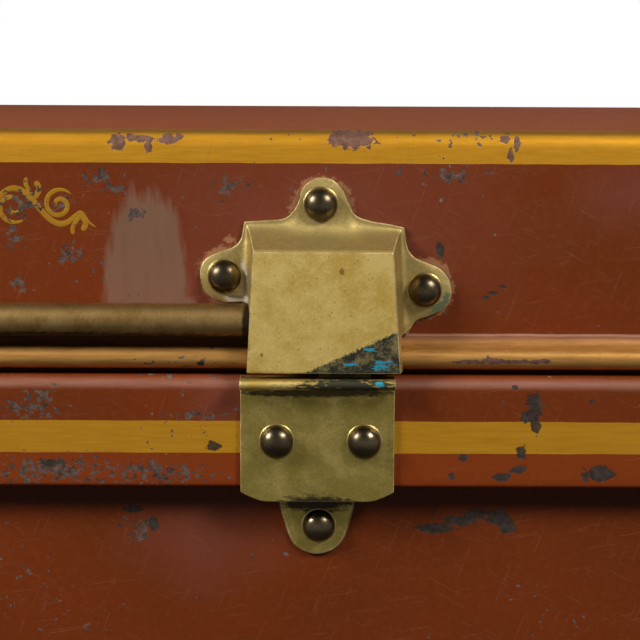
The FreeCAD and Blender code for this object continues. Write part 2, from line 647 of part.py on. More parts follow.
def keyhole_cover():
    """Drop-shaped cover that hangs over the keyhole."""
    pivot = ROD_LIFT + COVER_PIVOT
    back, front = COVER_BACK, COVER_BACK + COVER_THICK
    neck = [(-COVER_TOP_R, pivot), (-COVER_R, ROD_LIFT), (COVER_R, ROD_LIFT), (COVER_TOP_R, pivot)]
    cover = fused([front_disc(0, ROD_LIFT, COVER_R, back, front), front_prism(neck, back, front),
                   front_disc(0, pivot, COVER_TOP_R, back, front)])
    return cover.cut(front_disc(0, pivot, COVER_PIN_R + RUNNING, back - 1, front + 1))


def keyhole_cover_pin():
    """Shouldered pin that the cover swings on, riveted in the case's face."""
    pivot = ROD_LIFT + COVER_PIVOT
    top = COVER_BACK + COVER_THICK + RUNNING
    return fused([front_disc(0, pivot, COVER_PIN_R, CASE_DEPTH - 2 * PLATE, top),
                  front_disc(0, pivot, COVER_PIN_HEAD_R, CASE_DEPTH, COVER_BACK - RUNNING),
                  front_disc(0, pivot, COVER_PIN_HEAD_R, top, top + COVER_PIN_HEAD_H)])


# Hinges, built about X = 0 at the back and then moved sideways

BACK_FACE = BODY_WIDTH / 2 + LID_OUT
BACK_COLLAR = BODY_WIDTH / 2 + COLLAR_DEPTH
HINGE_Y = BACK_COLLAR + HINGE_GAP + HINGE_BARREL_R
KNUCKLE = HINGE_WIDTH / 3


def side_prism(outline, x_from, x_to):
    """Prism along X from an outline of (y, z above the joint)."""
    face = polygon_face([Vec(x_from, y, BODY_HEIGHT + z) for y, z in outline])
    return face.extrude(Vec(x_to - x_from, 0, 0))


def hinge_round(radius, x_from, x_to):
    """Cylinder on the hinge's axis."""
    return Part.makeCylinder(radius, x_to - x_from, Vec(x_from, HINGE_Y, BODY_HEIGHT), X_AXIS)


def back_rivet(make, x, lift, face_y):
    """A rivet or its hole through a hinge leaf and the sheet at the back."""
    return facing(make(HINGE_LEAF + SHEET), "back", x, face_y + HINGE_LEAF, BODY_HEIGHT + lift)


HINGE_SIDES = (-HINGE_RIVET_X, HINGE_RIVET_X)


def hinge_lid_holes():
    """Rivet holes of both lid leaves, in place."""
    return [back_rivet(rivet_hole, side * HINGE_X + x, HINGE_RIVET_LIFT, BACK_FACE)
            for side in (-1, 1) for x in HINGE_SIDES]


def hinge_body_holes():
    """Rivet holes of both body leaves, in place."""
    return [back_rivet(rivet_hole, side * HINGE_X + x, -HINGE_RIVET_DROP, BACK_COLLAR)
            for side in (-1, 1) for x in HINGE_SIDES]


def hinge_body_leaf():
    """Leaf on the collar with the two outer knuckles."""
    half = HINGE_WIDTH / 2
    inner = KNUCKLE / 2 + HINGE_KNUCKLE_GAP
    leaf = side_prism([(BACK_COLLAR, -HINGE_DROP), (BACK_COLLAR + HINGE_LEAF, -HINGE_DROP),
                       (BACK_COLLAR + HINGE_LEAF, 0), (BACK_COLLAR, 0)], -half, half)
    room = HINGE_BARREL_R + HINGE_GAP
    gap = side_prism([(BACK_COLLAR, -room), (HINGE_Y, -room), (HINGE_Y, room), (BACK_COLLAR, room)], -inner, inner)
    knuckles = [hinge_round(HINGE_BARREL_R, -half, -inner), hinge_round(HINGE_BARREL_R, inner, half)]
    leaf = fused([leaf.cut(gap)] + knuckles).cut(hinge_round(HINGE_PIN_R + RUNNING, -half, half))
    for x in HINGE_SIDES:
        leaf = leaf.cut(back_rivet(rivet_hole, x, -HINGE_RIVET_DROP, BACK_COLLAR))
    return leaf


def hinge_lid_leaf():
    """Swan-necked leaf on the lid with the middle knuckle."""
    half, mid = HINGE_WIDTH / 2, KNUCKLE / 2
    flat = side_prism([(BACK_FACE, HINGE_LIFT_FOOT), (BACK_FACE + HINGE_LEAF, HINGE_LIFT_FOOT),
                       (BACK_FACE + HINGE_LEAF, HINGE_LIFT_TOP), (BACK_FACE, HINGE_LIFT_TOP)], -half, half)
    inner_y = BACK_COLLAR + HINGE_GAP
    neck = side_prism([(BACK_FACE, HINGE_LIFT_FOOT), (inner_y, HINGE_CREST), (inner_y, 0), (HINGE_Y, 0),
                       (HINGE_Y, HINGE_CREST), (BACK_FACE + HINGE_LEAF, HINGE_LIFT_FOOT + HINGE_LEAF),
                       (BACK_FACE, HINGE_LIFT_FOOT + HINGE_LEAF)], -mid, mid)
    leaf = fused([flat, neck, hinge_round(HINGE_BARREL_R, -mid, mid)])
    leaf = leaf.cut(hinge_round(HINGE_PIN_R + RUNNING, -half, half))
    for x in HINGE_SIDES:
        leaf = leaf.cut(back_rivet(rivet_hole, x, HINGE_RIVET_LIFT, BACK_FACE))
    return leaf


# Handles, built for the right-hand end

END_FACE = BODY_LENGTH / 2
HANDLE_X = END_FACE + HANDLE_OUT
LUG_Y = HANDLE_ARM_Y + HANDLE_ELBOW_R + LUG_HALF + RUNNING * 10


def handle_bail():
    """Drop handle: stubs turned outwards into the lugs, two arms and a swelled grip."""
    arm, top, low = HANDLE_ARM_Y, HANDLE_LIFT, HANDLE_LIFT - HANDLE_DROP
    corners = [(-arm - HANDLE_STUB, top), (-arm, top), (-arm, low), (arm, low), (arm, top), (arm + HANDLE_STUB, top)]
    radii = [HANDLE_ELBOW_R, HANDLE_BEND_R, HANDLE_BEND_R, HANDLE_ELBOW_R]
    edges, last = [], Vec(HANDLE_X, *corners[0])
    for before, here, after, radius in zip(corners, corners[1:], corners[2:], radii):
        before, here, after = (Vec(HANDLE_X, *c) for c in (before, here, after))
        back, ahead = (before - here).normalize(), (after - here).normalize()
        start, end = here + back * radius, here + ahead * radius
        middle = here + (back + ahead) * radius * (1 - math.sqrt(0.5))
        edges += [Part.LineSegment(last, start).toShape(), Part.Arc(start, middle, end).toShape()]
        last = end
    edges.append(Part.LineSegment(last, Vec(HANDLE_X, *corners[-1])).toShape())
    path = Part.Wire(edges)
    section = Part.Wire(Part.makeCircle(HANDLE_ROD_R, Vec(HANDLE_X, *corners[0]), Y_AXIS))
    rod = path.makePipeShell([section], True, False)
    grip = Part.Face(Part.Wire([
        Part.LineSegment(Vec(HANDLE_X, -HANDLE_GRIP_HALF, low), Vec(HANDLE_X, HANDLE_GRIP_HALF, low)).toShape(),
        Part.LineSegment(Vec(HANDLE_X, HANDLE_GRIP_HALF, low),
                         Vec(HANDLE_X, HANDLE_GRIP_HALF, low - HANDLE_ROD_R)).toShape(),
        Part.Arc(Vec(HANDLE_X, HANDLE_GRIP_HALF, low - HANDLE_ROD_R), Vec(HANDLE_X, 0, low - HANDLE_GRIP_R),
                 Vec(HANDLE_X, -HANDLE_GRIP_HALF, low - HANDLE_ROD_R)).toShape(),
        Part.LineSegment(Vec(HANDLE_X, -HANDLE_GRIP_HALF, low - HANDLE_ROD_R),
                         Vec(HANDLE_X, -HANDLE_GRIP_HALF, low)).toShape()]))
    swell = grip.revolve(Vec(HANDLE_X, 0, low), Y_AXIS, 360)
    return rod.fuse(swell).removeSplitter()


def handle_lug(side):
    """Plate on the end wall with a bored lug for one stub; side is -1 at the front, 1 at the back."""
    middle = side * LUG_Y
    plate = Part.makeBox(LUG_PLATE, 2 * LUG_PLATE_HALF_Y, 2 * LUG_PLATE_HALF_Z,
                         Vec(END_FACE, middle - LUG_PLATE_HALF_Y, HANDLE_LIFT - LUG_PLATE_HALF_Z))
    corners = [e for e in plate.Edges if abs(e.tangentAt(e.FirstParameter).x) > 0.5]
    plate = plate.makeFillet(LUG_PLATE_HALF_Y / 2, corners)
    boss = Part.makeCylinder(LUG_R, 2 * LUG_HALF, Vec(HANDLE_X, middle - LUG_HALF, HANDLE_LIFT), Y_AXIS)
    stem = Part.makeBox(HANDLE_OUT, 2 * LUG_HALF, 2 * LUG_R, Vec(END_FACE, middle - LUG_HALF, HANDLE_LIFT - LUG_R))
    bore = Part.makeCylinder(HANDLE_ROD_R + RUNNING, 4 * LUG_HALF,
                             Vec(HANDLE_X, middle - 2 * LUG_HALF, HANDLE_LIFT), Y_AXIS)
    lug = fused([plate, stem, boss]).cut(bore)
    for rise in (-LUG_RIVET_Z, LUG_RIVET_Z):
        lug = lug.cut(end_rivet(rivet_hole, middle, rise))
    return lug


def end_rivet(make, y, rise):
    """A rivet or its hole through a handle plate and the right-hand end wall."""
    return facing(make(LUG_PLATE + SHEET), "right", END_FACE + LUG_PLATE, y, HANDLE_LIFT + rise)


END_RIVETS = [(side * LUG_Y, rise) for side in (-1, 1) for rise in (-LUG_RIVET_Z, LUG_RIVET_Z)]


def save_sheets(name, sheets, holes):
    """Writes the four sheets of a ring, with the rivet holes of each side."""
    for side, sheet in sheets.items():
        for hole in holes.get(side, []):
            sheet = sheet.cut(hole)
        save(f"{name}_{side}", sheet)


def build_case():
    """Bottom, walls and collar, with their rivet holes."""
    ear_hole = keeper_rivet(rivet_hole, *KEEPER_RIVETS[2])
    end_holes = [end_rivet(rivet_hole, y, rise) for y, rise in END_RIVETS]
    plate_holes = [keeper_rivet(rivet_hole, *spec) for spec in KEEPER_RIVETS[:2]]
    save("bottom_pan", bottom_pan())
    save_sheets("wall", body_walls(), {"front": [ear_hole, mirrored(ear_hole)], "right": end_holes,
                                       "left": [mirrored(hole) for hole in end_holes]})
    save_sheets("collar", collar_bands(), {"front": plate_holes + [mirrored(hole) for hole in plate_holes],
                                           "back": hinge_body_holes()})


def build_lid():
    """Lid's sheets and rim wire."""
    save_sheets("lid", lid_skirts(), {"front": latch_and_lock_holes(), "back": hinge_lid_holes()})
    save("lid_top", lid_top())
    save("lid_rim_wire", lid_rim_wire())


def build_latches():
    """Boxes, keepers and their rivets at both sides."""
    box = place_front(latch_box(), LATCH_X)
    plate = place_front(keeper_plate(), LATCH_X + KEEPER_SHIFT)
    tongue = place_front(keeper_tongue(), TONGUE_X)
    box_rivets = [lid_front(rivet, LATCH_X + x, z) for x, z in LATCH_RIVETS]
    plate_rivets = [keeper_rivet(rivet, *spec) for spec in KEEPER_RIVETS]
    for name, pieces in (("latch_box", [box]), ("latch_box_rivets", box_rivets), ("keeper_plate", [plate]),
                         ("keeper_tongue", [tongue]), ("keeper_rivets", plate_rivets)):
        save(f"right_{name}", *pieces)
        save(f"left_{name}", *[mirrored(piece) for piece in pieces])


def build_lock():
    """Lock case, barrel, racks, rods and the keyhole's cover."""
    rod = place_front(bolt_rod())
    save("right_bolt_rod", rod)
    save("left_bolt_rod", mirrored(rod))
    save("right_rack", place_front(rack(1)))
    save("left_rack", place_front(rack(-1)))
    save("lock_barrel", place_front(lock_barrel()))
    save("lock_case", place_front(lock_case()))
    save("lock_back_plate", place_front(lock_back_plate()))
    save("lock_case_rivets", *[lid_front(rivet, x, z) for x, z in CASE_RIVETS])
    save("keyhole_cover", place_front(keyhole_cover()))
    save("keyhole_cover_pin", place_front(keyhole_cover_pin()))


def build_hinges():
    """Two hinges at the back."""
    half = HINGE_WIDTH / 2
    for name, side in (("left", -1), ("right", 1)):
        shift = Vec(side * HINGE_X, 0, 0)
        for piece, shape in (("hinge_body_leaf", hinge_body_leaf()), ("hinge_lid_leaf", hinge_lid_leaf()),
                             ("hinge_pin", hinge_round(HINGE_PIN_R, -half, half))):
            shape.translate(shift)
            save(f"{name}_{piece}", shape)
        places = [side * HINGE_X + x for x in HINGE_SIDES]
        save(f"{name}_hinge_lid_rivets", *[back_rivet(rivet, x, HINGE_RIVET_LIFT, BACK_FACE) for x in places])
        save(f"{name}_hinge_body_rivets", *[back_rivet(rivet, x, -HINGE_RIVET_DROP, BACK_COLLAR) for x in places])


def build_handles():
    """Drop handles at both ends."""
    pieces = {"handle_bail": [handle_bail()], "handle_front_lug": [handle_lug(-1)],
              "handle_rear_lug": [handle_lug(1)],
              "handle_rivets": [end_rivet(rivet, y, rise) for y, rise in END_RIVETS]}
    for name, solids in pieces.items():
        save(f"right_{name}", *solids)
        save(f"left_{name}", *[mirrored(solid) for solid in solids])


def main():
    """Writes every node to parts/."""
    os.makedirs("parts", exist_ok=True)
    build_case()
    build_lid()
    build_latches()
    build_lock()
    build_hinges()
    build_handles()
    print(f"bolt stroke {STROKE:.3f} mm for {TURN_DEG:.0f} degrees")


main()
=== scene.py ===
# %% [markdown]
# # A ship trunk of painted sheet steel with brass fittings
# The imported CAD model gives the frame: every piece below is placed in its coordinates, in metres, with the
# floor at Z = 0 and the front towards -Y.  CAD tessellation is coarse for a close view, so the sheets and
# fittings are made again here as smooth surfaces that stand for the CAD nodes.

# %% Load the frame
import json
import bmesh
import bpy
import numpy as np
from mathutils import Matrix, Vector

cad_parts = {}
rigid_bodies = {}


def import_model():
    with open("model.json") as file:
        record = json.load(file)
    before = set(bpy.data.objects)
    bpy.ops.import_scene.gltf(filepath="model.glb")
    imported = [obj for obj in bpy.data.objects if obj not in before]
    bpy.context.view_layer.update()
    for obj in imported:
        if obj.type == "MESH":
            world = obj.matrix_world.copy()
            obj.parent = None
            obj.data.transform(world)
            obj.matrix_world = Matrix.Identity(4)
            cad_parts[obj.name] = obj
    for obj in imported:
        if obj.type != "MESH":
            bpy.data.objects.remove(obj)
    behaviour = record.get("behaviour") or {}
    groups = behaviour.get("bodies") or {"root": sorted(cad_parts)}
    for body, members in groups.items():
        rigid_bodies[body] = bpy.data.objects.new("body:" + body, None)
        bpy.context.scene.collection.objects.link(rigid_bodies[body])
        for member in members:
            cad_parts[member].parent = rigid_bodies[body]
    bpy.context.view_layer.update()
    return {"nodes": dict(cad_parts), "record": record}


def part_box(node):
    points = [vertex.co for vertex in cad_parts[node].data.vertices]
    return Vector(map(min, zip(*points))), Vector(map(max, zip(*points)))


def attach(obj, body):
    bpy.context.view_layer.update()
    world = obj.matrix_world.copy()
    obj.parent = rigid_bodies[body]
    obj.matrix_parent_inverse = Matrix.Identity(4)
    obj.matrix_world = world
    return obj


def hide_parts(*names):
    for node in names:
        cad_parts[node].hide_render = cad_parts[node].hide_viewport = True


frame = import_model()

MM = 0.001
print("nodes in the frame:", len(frame["nodes"]))

# %% [markdown]
# ## Sizes
# The lid's front face, the height where lid and collar meet, and the latch's middle are the three places that
# everything on the front is measured from.  Fittings use x to the right of the latch, p outwards from the
# lid's face and z above the joint, all in millimetres.  The large sizes are read from the frame, so that they can't
# drift from the CAD model, and the small ones are written here once.

# %% Places on the trunk, in millimetres
SIDES = (("right", 1), ("left", -1))
WALLS = ("front", "back", "left", "right")
COLLAR_DEPTH = 8.0  # out from the wall to the collar's face
CORNER_R = 24.0  # of the wall, seen from above
SHEET = 0.9  # thickness of the tinplate
LID_OUT = 1.7  # out from the wall to the lid's face
PLATE = 1.2  # thickness of the brass plate
LATCH_X = 225.0  # from the lock to the middle of a latch
collar_end, collar_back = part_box("collar_right")[1] / MM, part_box("collar_back")[1] / MM
HALF_LENGTH, HALF_WIDTH = round(collar_end.x - COLLAR_DEPTH, 3), round(collar_back.y - COLLAR_DEPTH, 3)
JOINT, LID_TOP = round(collar_end.z, 3), round(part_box("lid_top")[1].z / MM, 3)
FACE = HALF_WIDTH + LID_OUT
COLLAR_OUT = COLLAR_DEPTH - LID_OUT


def on_front(x, p, z):
    """Front frame to the trunk's: X = x, Y = -(face + p), Z = joint + z, as an array of points in millimetres."""
    x, p, z = np.broadcast_arrays(x, p, z)
    return np.stack([x, -(FACE + p), JOINT + z], -1)


print("body:", 2 * HALF_LENGTH, "x", 2 * HALF_WIDTH, "mm, lid and collar meet at", JOINT, "mm")

# %% [markdown]
# ## From arrays to pieces
# A piece is one or more patches.  A patch is a grid of points, so its faces follow from its shape alone: point
# (i, j) joins (i+1, j), (i+1, j+1) and (i, j+1), and a wrapped grid joins its last row to its first.  Rows that
# shrink to one point close an end.  Merging doubles afterwards turns those into clean fans.  Modelling by hand would
# do as well, but a formula can be read, checked and changed.

# %% Piece maker
MERGE = 2e-7  # metres: points nearer than this are one point


def grid_faces(rows, columns, wrap_rows, wrap_columns):
    """Quads of a grid of points, by index arithmetic on whole arrays."""
    i = np.arange(rows if wrap_rows else rows - 1)[:, None]
    j = np.arange(columns if wrap_columns else columns - 1)[None, :]
    i2, j2 = (i + 1) % rows, (j + 1) % columns
    return np.stack([i * columns + j, i2 * columns + j, i2 * columns + j2, i * columns + j2], -1)


def patch(points, wrap_rows=False, wrap_columns=False, keep=None, flip=False):
    """A grid of points in millimetres with its faces; keep is a mask of the faces that stay."""
    points = np.asarray(points, float)
    quads = grid_faces(points.shape[0], points.shape[1], wrap_rows, wrap_columns)
    quads = quads[keep] if keep is not None else quads.reshape(-1, 4)
    return points.reshape(-1, 3), quads[:, ::-1] if flip else quads


def piece(name, patches, material, body, stands_for=(), sharp=35.0, closed=True, wall=0.0, bevel=0.0,
          rubbed=None, inside=None):
    """One object from its patches, with smooth shading and creases past the sharp angle, riding on its body.

    wall is a sheet's thickness inwards and bevel a rounding of its creases, in millimetres; rubbed is the finish of
    the bevelled edges, and inside is (finish, mask) of the faces that have another one.
    """
    starts = np.cumsum([0] + [len(points) for points, _ in patches])
    points = np.concatenate([points for points, _ in patches]) * MM
    quads = np.concatenate([quads + start for (_, quads), start in zip(patches, starts)])
    mesh = bpy.data.meshes.new(name)
    mesh.from_pydata(points, [], quads.tolist())
    if inside:
        mesh.polygons.foreach_set("material_index", inside[1].astype(np.int32))
    work = bmesh.new()
    work.from_mesh(mesh)
    bmesh.ops.remove_doubles(work, verts=work.verts, dist=MERGE)
    bmesh.ops.dissolve_degenerate(work, edges=work.edges, dist=MERGE / 2)
    if closed:
        bmesh.ops.recalc_face_normals(work, faces=work.faces)
    work.to_mesh(mesh)
    work.free()
    mesh.polygons.foreach_set("use_smooth", np.ones(len(mesh.polygons), bool))
    mesh.set_sharp_from_angle(angle=np.radians(sharp))
    mesh.materials.append(material)
    if rubbed or inside:
        mesh.materials.append(rubbed or inside[0])
    made = bpy.data.objects.new(name, mesh)
    bpy.context.scene.collection.objects.link(made)
    if wall:
        solid = made.modifiers.new("sheet", "SOLIDIFY")
        solid.thickness, solid.offset, solid.use_even_offset = wall * MM, -1.0, False
    if bevel:
        edge = made.modifiers.new("edge", "BEVEL")
        edge.width, edge.segments, edge.limit_method = bevel * MM, 2, "ANGLE"
        edge.angle_limit, edge.use_clamp_overlap = np.radians(sharp), False
        if rubbed:
            edge.material = 1
    if stands_for:
        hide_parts(*stands_for)
    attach(made, body)


print("a grid of 3 x 4 points has", grid_faces(3, 4, False, False).size // 4, "faces")

# %% [markdown]
# ## Curves that the surfaces are built from
# Arcs, smooth curves through a few measured points, and outlines with their outward normals.  Curve objects could be
# bevelled instead, but arrays give the points of every section exactly where the next surface needs them.

# %% Curves
def arc(x, z, radius, start, end, count=9):
    """Points of a circle about (x, z) from one angle to another, in degrees."""
    turn = np.radians(np.linspace(start, end, count))
    return np.stack([x + radius * np.cos(turn), z + radius * np.sin(turn)], -1)


def line(start, end, count=2):
    """Points of a straight run."""
    return np.linspace(start, end, count)


def smooth_through(points, count):
    """Catmull-Rom curve: between two points the tangents are half the chord of their neighbours."""
    points = np.asarray(points, float)
    padded = np.concatenate([2 * points[:1] - points[1:2], points, 2 * points[-1:] - points[-2:-1]])
    at = np.linspace(0, len(points) - 1, count)
    k = np.minimum(at.astype(int), len(points) - 2)
    t = (at - k)[:, None]
    a, b, c, d = padded[k], padded[k + 1], padded[k + 2], padded[k + 3]
    return 0.5 * (2 * b + (c - a) * t + (2 * a - 5 * b + 4 * c - d) * t ** 2 + (3 * b - a - 3 * c + d) * t ** 3)


def resampled(points, count):
    """The same polyline with evenly spaced points."""
    points = np.asarray(points, float)
    run = np.concatenate([[0], np.cumsum(np.linalg.norm(np.diff(points, axis=0), axis=1))])
    at = np.linspace(0, run[-1], count)
    return np.stack([np.interp(at, run, points[:, k]) for k in range(points.shape[1])], -1)


def outline_normals(outline, wrap=True):
    """Normals to the right of an outline's run, from central differences: (dx, dz) turned to (dz, -dx)."""
    step = np.roll(outline, -1, 0) - np.roll(outline, 1, 0) if wrap else np.gradient(outline, axis=0)
    normal = np.stack([step[:, 1], -step[:, 0]], -1)
    return normal / np.maximum(np.linalg.norm(normal, axis=1, keepdims=True), 1e-9)


def case_path(spacing=16, corner_points=19):
    """Wall's outline seen from above, a rounded rectangle run anticlockwise, with outward normals."""
    run_x, run_y = HALF_LENGTH - CORNER_R, HALF_WIDTH - CORNER_R
    points, normals = [], []
    for turn, (cx, cy) in enumerate([(run_x, run_y), (-run_x, run_y), (-run_x, -run_y), (run_x, -run_y)]):
        angle = np.radians(np.linspace(90 * turn, 90 * turn + 90, corner_points))
        side = np.stack([np.cos(angle), np.sin(angle)], -1)
        points.append(np.array([cx, cy]) + CORNER_R * side)
        normals.append(side)
        long = 2 * (run_x if turn in (0, 2) else run_y)
        along = np.linspace(0, 1, int(long / spacing))[1:-1, None]
        ahead = np.array([-side[-1][1], side[-1][0]])
        points.append(points[-1][-1] + ahead * long * along)
        normals.append(np.repeat(side[-1:], len(along), 0))
    return np.concatenate(points), np.concatenate(normals)


PATH, PATH_NORMAL = case_path()


def carried_round(profile):
    """Profile of (outward, height) carried round the wall: point = path + normal * outward, at that height."""
    profile = np.asarray(profile, float)
    flat = PATH[:, None] + PATH_NORMAL[:, None] * profile[None, :, :1]
    height = np.broadcast_to(profile[None, :, 1:], flat.shape[:2] + (1,))
    return np.concatenate([flat, height], -1)


def turned(profile, origin, axis, count=40):
    """Profile of (radius, height) turned about an axis: origin + ring at each angle * radius + axis * height."""
    axis = np.asarray(axis, float)
    side = np.cross(axis, [0.0, 0.0, 1.0] if abs(axis[2]) < 0.9 else [1.0, 0.0, 0.0])
    side /= np.linalg.norm(side)
    other = np.cross(axis, side)
    turn = np.linspace(0, 2 * np.pi, count, endpoint=False)[:, None, None]
    ring = np.cos(turn) * side + np.sin(turn) * other
    profile = np.asarray(profile, float)
    return np.asarray(origin, float) + ring * profile[None, :, :1] + axis * profile[None, :, 1:]


print("wall outline:", len(PATH), "points")

# %% [markdown]
# ## Finishes
# Every finish reads Object coordinates, turned to millimetres once, so that each pattern's scale is a real size:
# a noise of scale 1/8 has lumps of about 8 mm.  One helper adds a node, sets it and links it.

# %% Colour and node helpers
def linear(code):
    """sRGB hex to linear red, green, blue and alpha."""
    part = np.array([int(code[k:k + 2], 16) / 255 for k in (1, 3, 5)])
    part = np.where(part <= 0.04045, part / 12.92, ((part + 0.055) / 1.055) ** 2.4)
    return (*part.tolist(), 1.0)


def add(tree, kind, inputs=None, out=0, **settings):
    """Adds a node, sets its options and inputs (a socket is linked, anything else is a value), gives an output."""
    node = tree.nodes.new("ShaderNode" + kind)
    for name, value in settings.items():
        setattr(node, name, value)
    for name, value in (inputs or {}).items():
        if isinstance(value, bpy.types.NodeSocket):
            tree.links.new(value, node.inputs[name])
        else:
            node.inputs[name].default_value = value
    return node.outputs[out]


def finish(name):
    """New material: its tree, its shader and its Object coordinates in millimetres."""
    material = bpy.data.materials.new(name)
    material.use_nodes = True
    tree = material.node_tree
    shader = tree.nodes["Principled BSDF"]
    place = add(tree, "TexCoord", out="Object")
    place = add(tree, "VectorMath", {0: place, "Scale": 1000.0}, operation="SCALE")
    return material, tree, shader, place


UNDER, OVER = 6, 7  # a Mix node's two colour sockets
COLOURS = {"out": 2, "data_type": "RGBA"}  # sets a Mix node to colours and takes its colour
SPOT_DEPTH = 60.0  # mm that a spot reaches in from the front


def spots(tree, place, blots, ragged, grain, weave=None, full=0.5, soft=0.08):
    """Mask of ragged spots on the front: distance to the nearest ellipse, in its radii, plus ragged * noise is cut
    where it reaches 1 + ragged * full.

    blots are the ellipses (x from the latch, z above the joint, rx, rz in mm), grain is the noise's scale, weave its
    own coordinates and soft the width of the cut; a lower full breaks a spot up into scattered flakes.
    """
    rough = add(tree, "TexNoise", {"Vector": weave or place, "Scale": grain, "Detail": 4.0, "Roughness": 0.6})
    nearest = None
    for x, z, rx, rz in blots:
        away = add(tree, "VectorMath", {0: place, 1: (LATCH_X + x, -FACE, JOINT + z)}, operation="SUBTRACT")
        away = add(tree, "VectorMath", {0: away, 1: (rx, SPOT_DEPTH, rz)}, operation="DIVIDE")
        away = add(tree, "VectorMath", {0: away}, out="Value", operation="LENGTH")
        nearest = away if nearest is None else add(tree, "Math", {0: nearest, 1: away}, operation="MINIMUM")
    broken = add(tree, "Math", {0: rough, 1: ragged, 2: nearest}, operation="MULTIPLY_ADD")
    edge = 1.0 + ragged * full
    return add(tree, "MapRange", {"Value": broken, "From Min": edge + soft, "From Max": edge - soft})


print("mid grey in linear light:", round(linear("#808080")[0], 3))

# %% [markdown]
# ### Stoving paint on sheet steel
# Oil paint baked on tinplate dries to a hard satin skin, so it is a plain dielectric with a low, broken sheen.
# Decades of handling leave it clouded and mottled, thin where it was rubbed, and brushed over in one place.  A
# picture projected on it would fit one view only, so the coat is laid as painter and years laid it: ground, lines,
# wear.

# %% Ground coat
PAINT, PAINT_DEEP, PAINT_FADED = linear("#7a330d"), linear("#70300c"), linear("#864522")
PAINT_THIN, BRUSHED_DARK, BRUSHED_PALE = linear("#7d4434"), linear("#7b5643"), linear("#8d6852")
COVER = 0.93  # share of the old coat that a flake or a brushed-over patch hides


def ground_coat(tree, place, cloud, mottle, rubbed, touched):
    """Red-brown, deeper in clouds and faded in a fine mottle; rubbed is thin paint, touched is brushed over."""
    tone = add(tree, "MapRange", {"Value": cloud, "From Min": 0.35, "From Max": 0.65})
    colour = add(tree, "Mix", {"Factor": tone, UNDER: PAINT_DEEP, OVER: PAINT}, **COLOURS)
    fading = add(tree, "MapRange", {"Value": mottle, "From Min": 0.5, "From Max": 0.8})
    fading = add(tree, "Math", {0: fading, 1: 0.5}, operation="MULTIPLY")
    colour = add(tree, "Mix", {"Factor": fading, UNDER: colour, OVER: PAINT_FADED}, **COLOURS)
    if rubbed:
        thin = spots(tree, place, rubbed, 1.5, 1 / 18, soft=0.7)
        thin = add(tree, "Math", {0: thin, 1: 0.6}, operation="MULTIPLY")
        colour = add(tree, "Mix", {"Factor": thin, UNDER: colour, OVER: PAINT_THIN}, **COLOURS)
    if touched:
        streaks = add(tree, "VectorMath", {0: place, 1: (1.0, 1.0, 0.16)}, operation="MULTIPLY")
        mask = spots(tree, place, touched, 0.55, 1 / 2.2, streaks)
        shade = add(tree, "TexNoise", {"Vector": streaks, "Scale": 1 / 3.0, "Detail": 3.0})
        brushed = add(tree, "Mix", {"Factor": shade, UNDER: BRUSHED_DARK, OVER: BRUSHED_PALE}, **COLOURS)
        mask = add(tree, "Math", {0: mask, 1: COVER}, operation="MULTIPLY")
        colour = add(tree, "Mix", {"Factor": mask, UNDER: colour, OVER: brushed}, **COLOURS)
    return colour


print("ground coat: 3 tones of red-brown")

# %% [markdown]
# Gold lines are bronze powder in varnish, ruled with a long-haired brush: duller than metal, streaked along their
# run, with edges that waver a little.  A strip of mesh would need a seam in the sheet, so a line is a band of heights
# in the paint itself.

# %% Brushed lines
WAVER = 0.5  # mm that a line's edges wander


def brushed_lines(tree, place, height, colour, lines):
    """Bands (low, high, bright, dull, share of metal, softness of the edges) by height above the joint: a band is
    where height + waver * noise lies between low and high.  Gives the colour and the share of metal."""
    wave = add(tree, "TexNoise", {"Vector": place, "Scale": 1 / 12, "Detail": 3.0})
    line_z = add(tree, "Math", {0: wave, 1: WAVER, 2: height}, operation="MULTIPLY_ADD")
    hairs = add(tree, "VectorMath", {0: place, 1: (0.09, 0.09, 1.0)}, operation="MULTIPLY")
    hairs = add(tree, "TexNoise", {"Vector": hairs, "Scale": 1 / 0.9, "Detail": 4.0, "Roughness": 0.6})
    streaks = add(tree, "MapRange", {"Value": hairs, "From Min": 0.2, "From Max": 0.8})
    metal = None
    # bands are gold lines, and also painted sheen, highlight and shade where a coat lists them
    for low, high, bright, dull, share, soft in lines:
        low, high = JOINT + low + WAVER / 2, JOINT + high + WAVER / 2
        above = add(tree, "MapRange", {"Value": line_z, "From Min": low - soft / 2, "From Max": low + soft / 2},
                    interpolation_type="SMOOTHSTEP")
        below = add(tree, "MapRange", {"Value": line_z, "From Min": high + soft / 2, "From Max": high - soft / 2},
                    interpolation_type="SMOOTHSTEP")
        band = add(tree, "Math", {0: above, 1: below}, operation="MULTIPLY")
        gold = add(tree, "Mix", {"Factor": streaks, UNDER: linear(dull), OVER: linear(bright)}, **COLOURS)
        colour = add(tree, "Mix", {"Factor": band, UNDER: colour, OVER: gold}, **COLOURS)
        band = add(tree, "Math", {0: band, 1: share}, operation="MULTIPLY")
        metal = band if metal is None else add(tree, "Math", {0: metal, 1: band}, operation="MAXIMUM")
    return colour, metal


print("lines waver by", WAVER, "mm")

# %% [markdown]
# Wear comes last, over paint and gold alike: pale rims where a rivet's ear has moved, hair scratches in three
# directions, and flakes off down to grey primer or dark steel.  Flakes are scattered by noise, more of them near the
# heights that get knocked, and listed one by one where the latch shows them.

# %% Wear
RIM, SCRATCH = linear("#b3835c"), linear("#a5745c")
PRIMER_DARK, PRIMER_PALE = linear("#453b37"), linear("#7e736b")
RIM_RAGGED, RIM_CLOUDED = 7.0, 9.0  # mm that mottle and cloud shift a rim


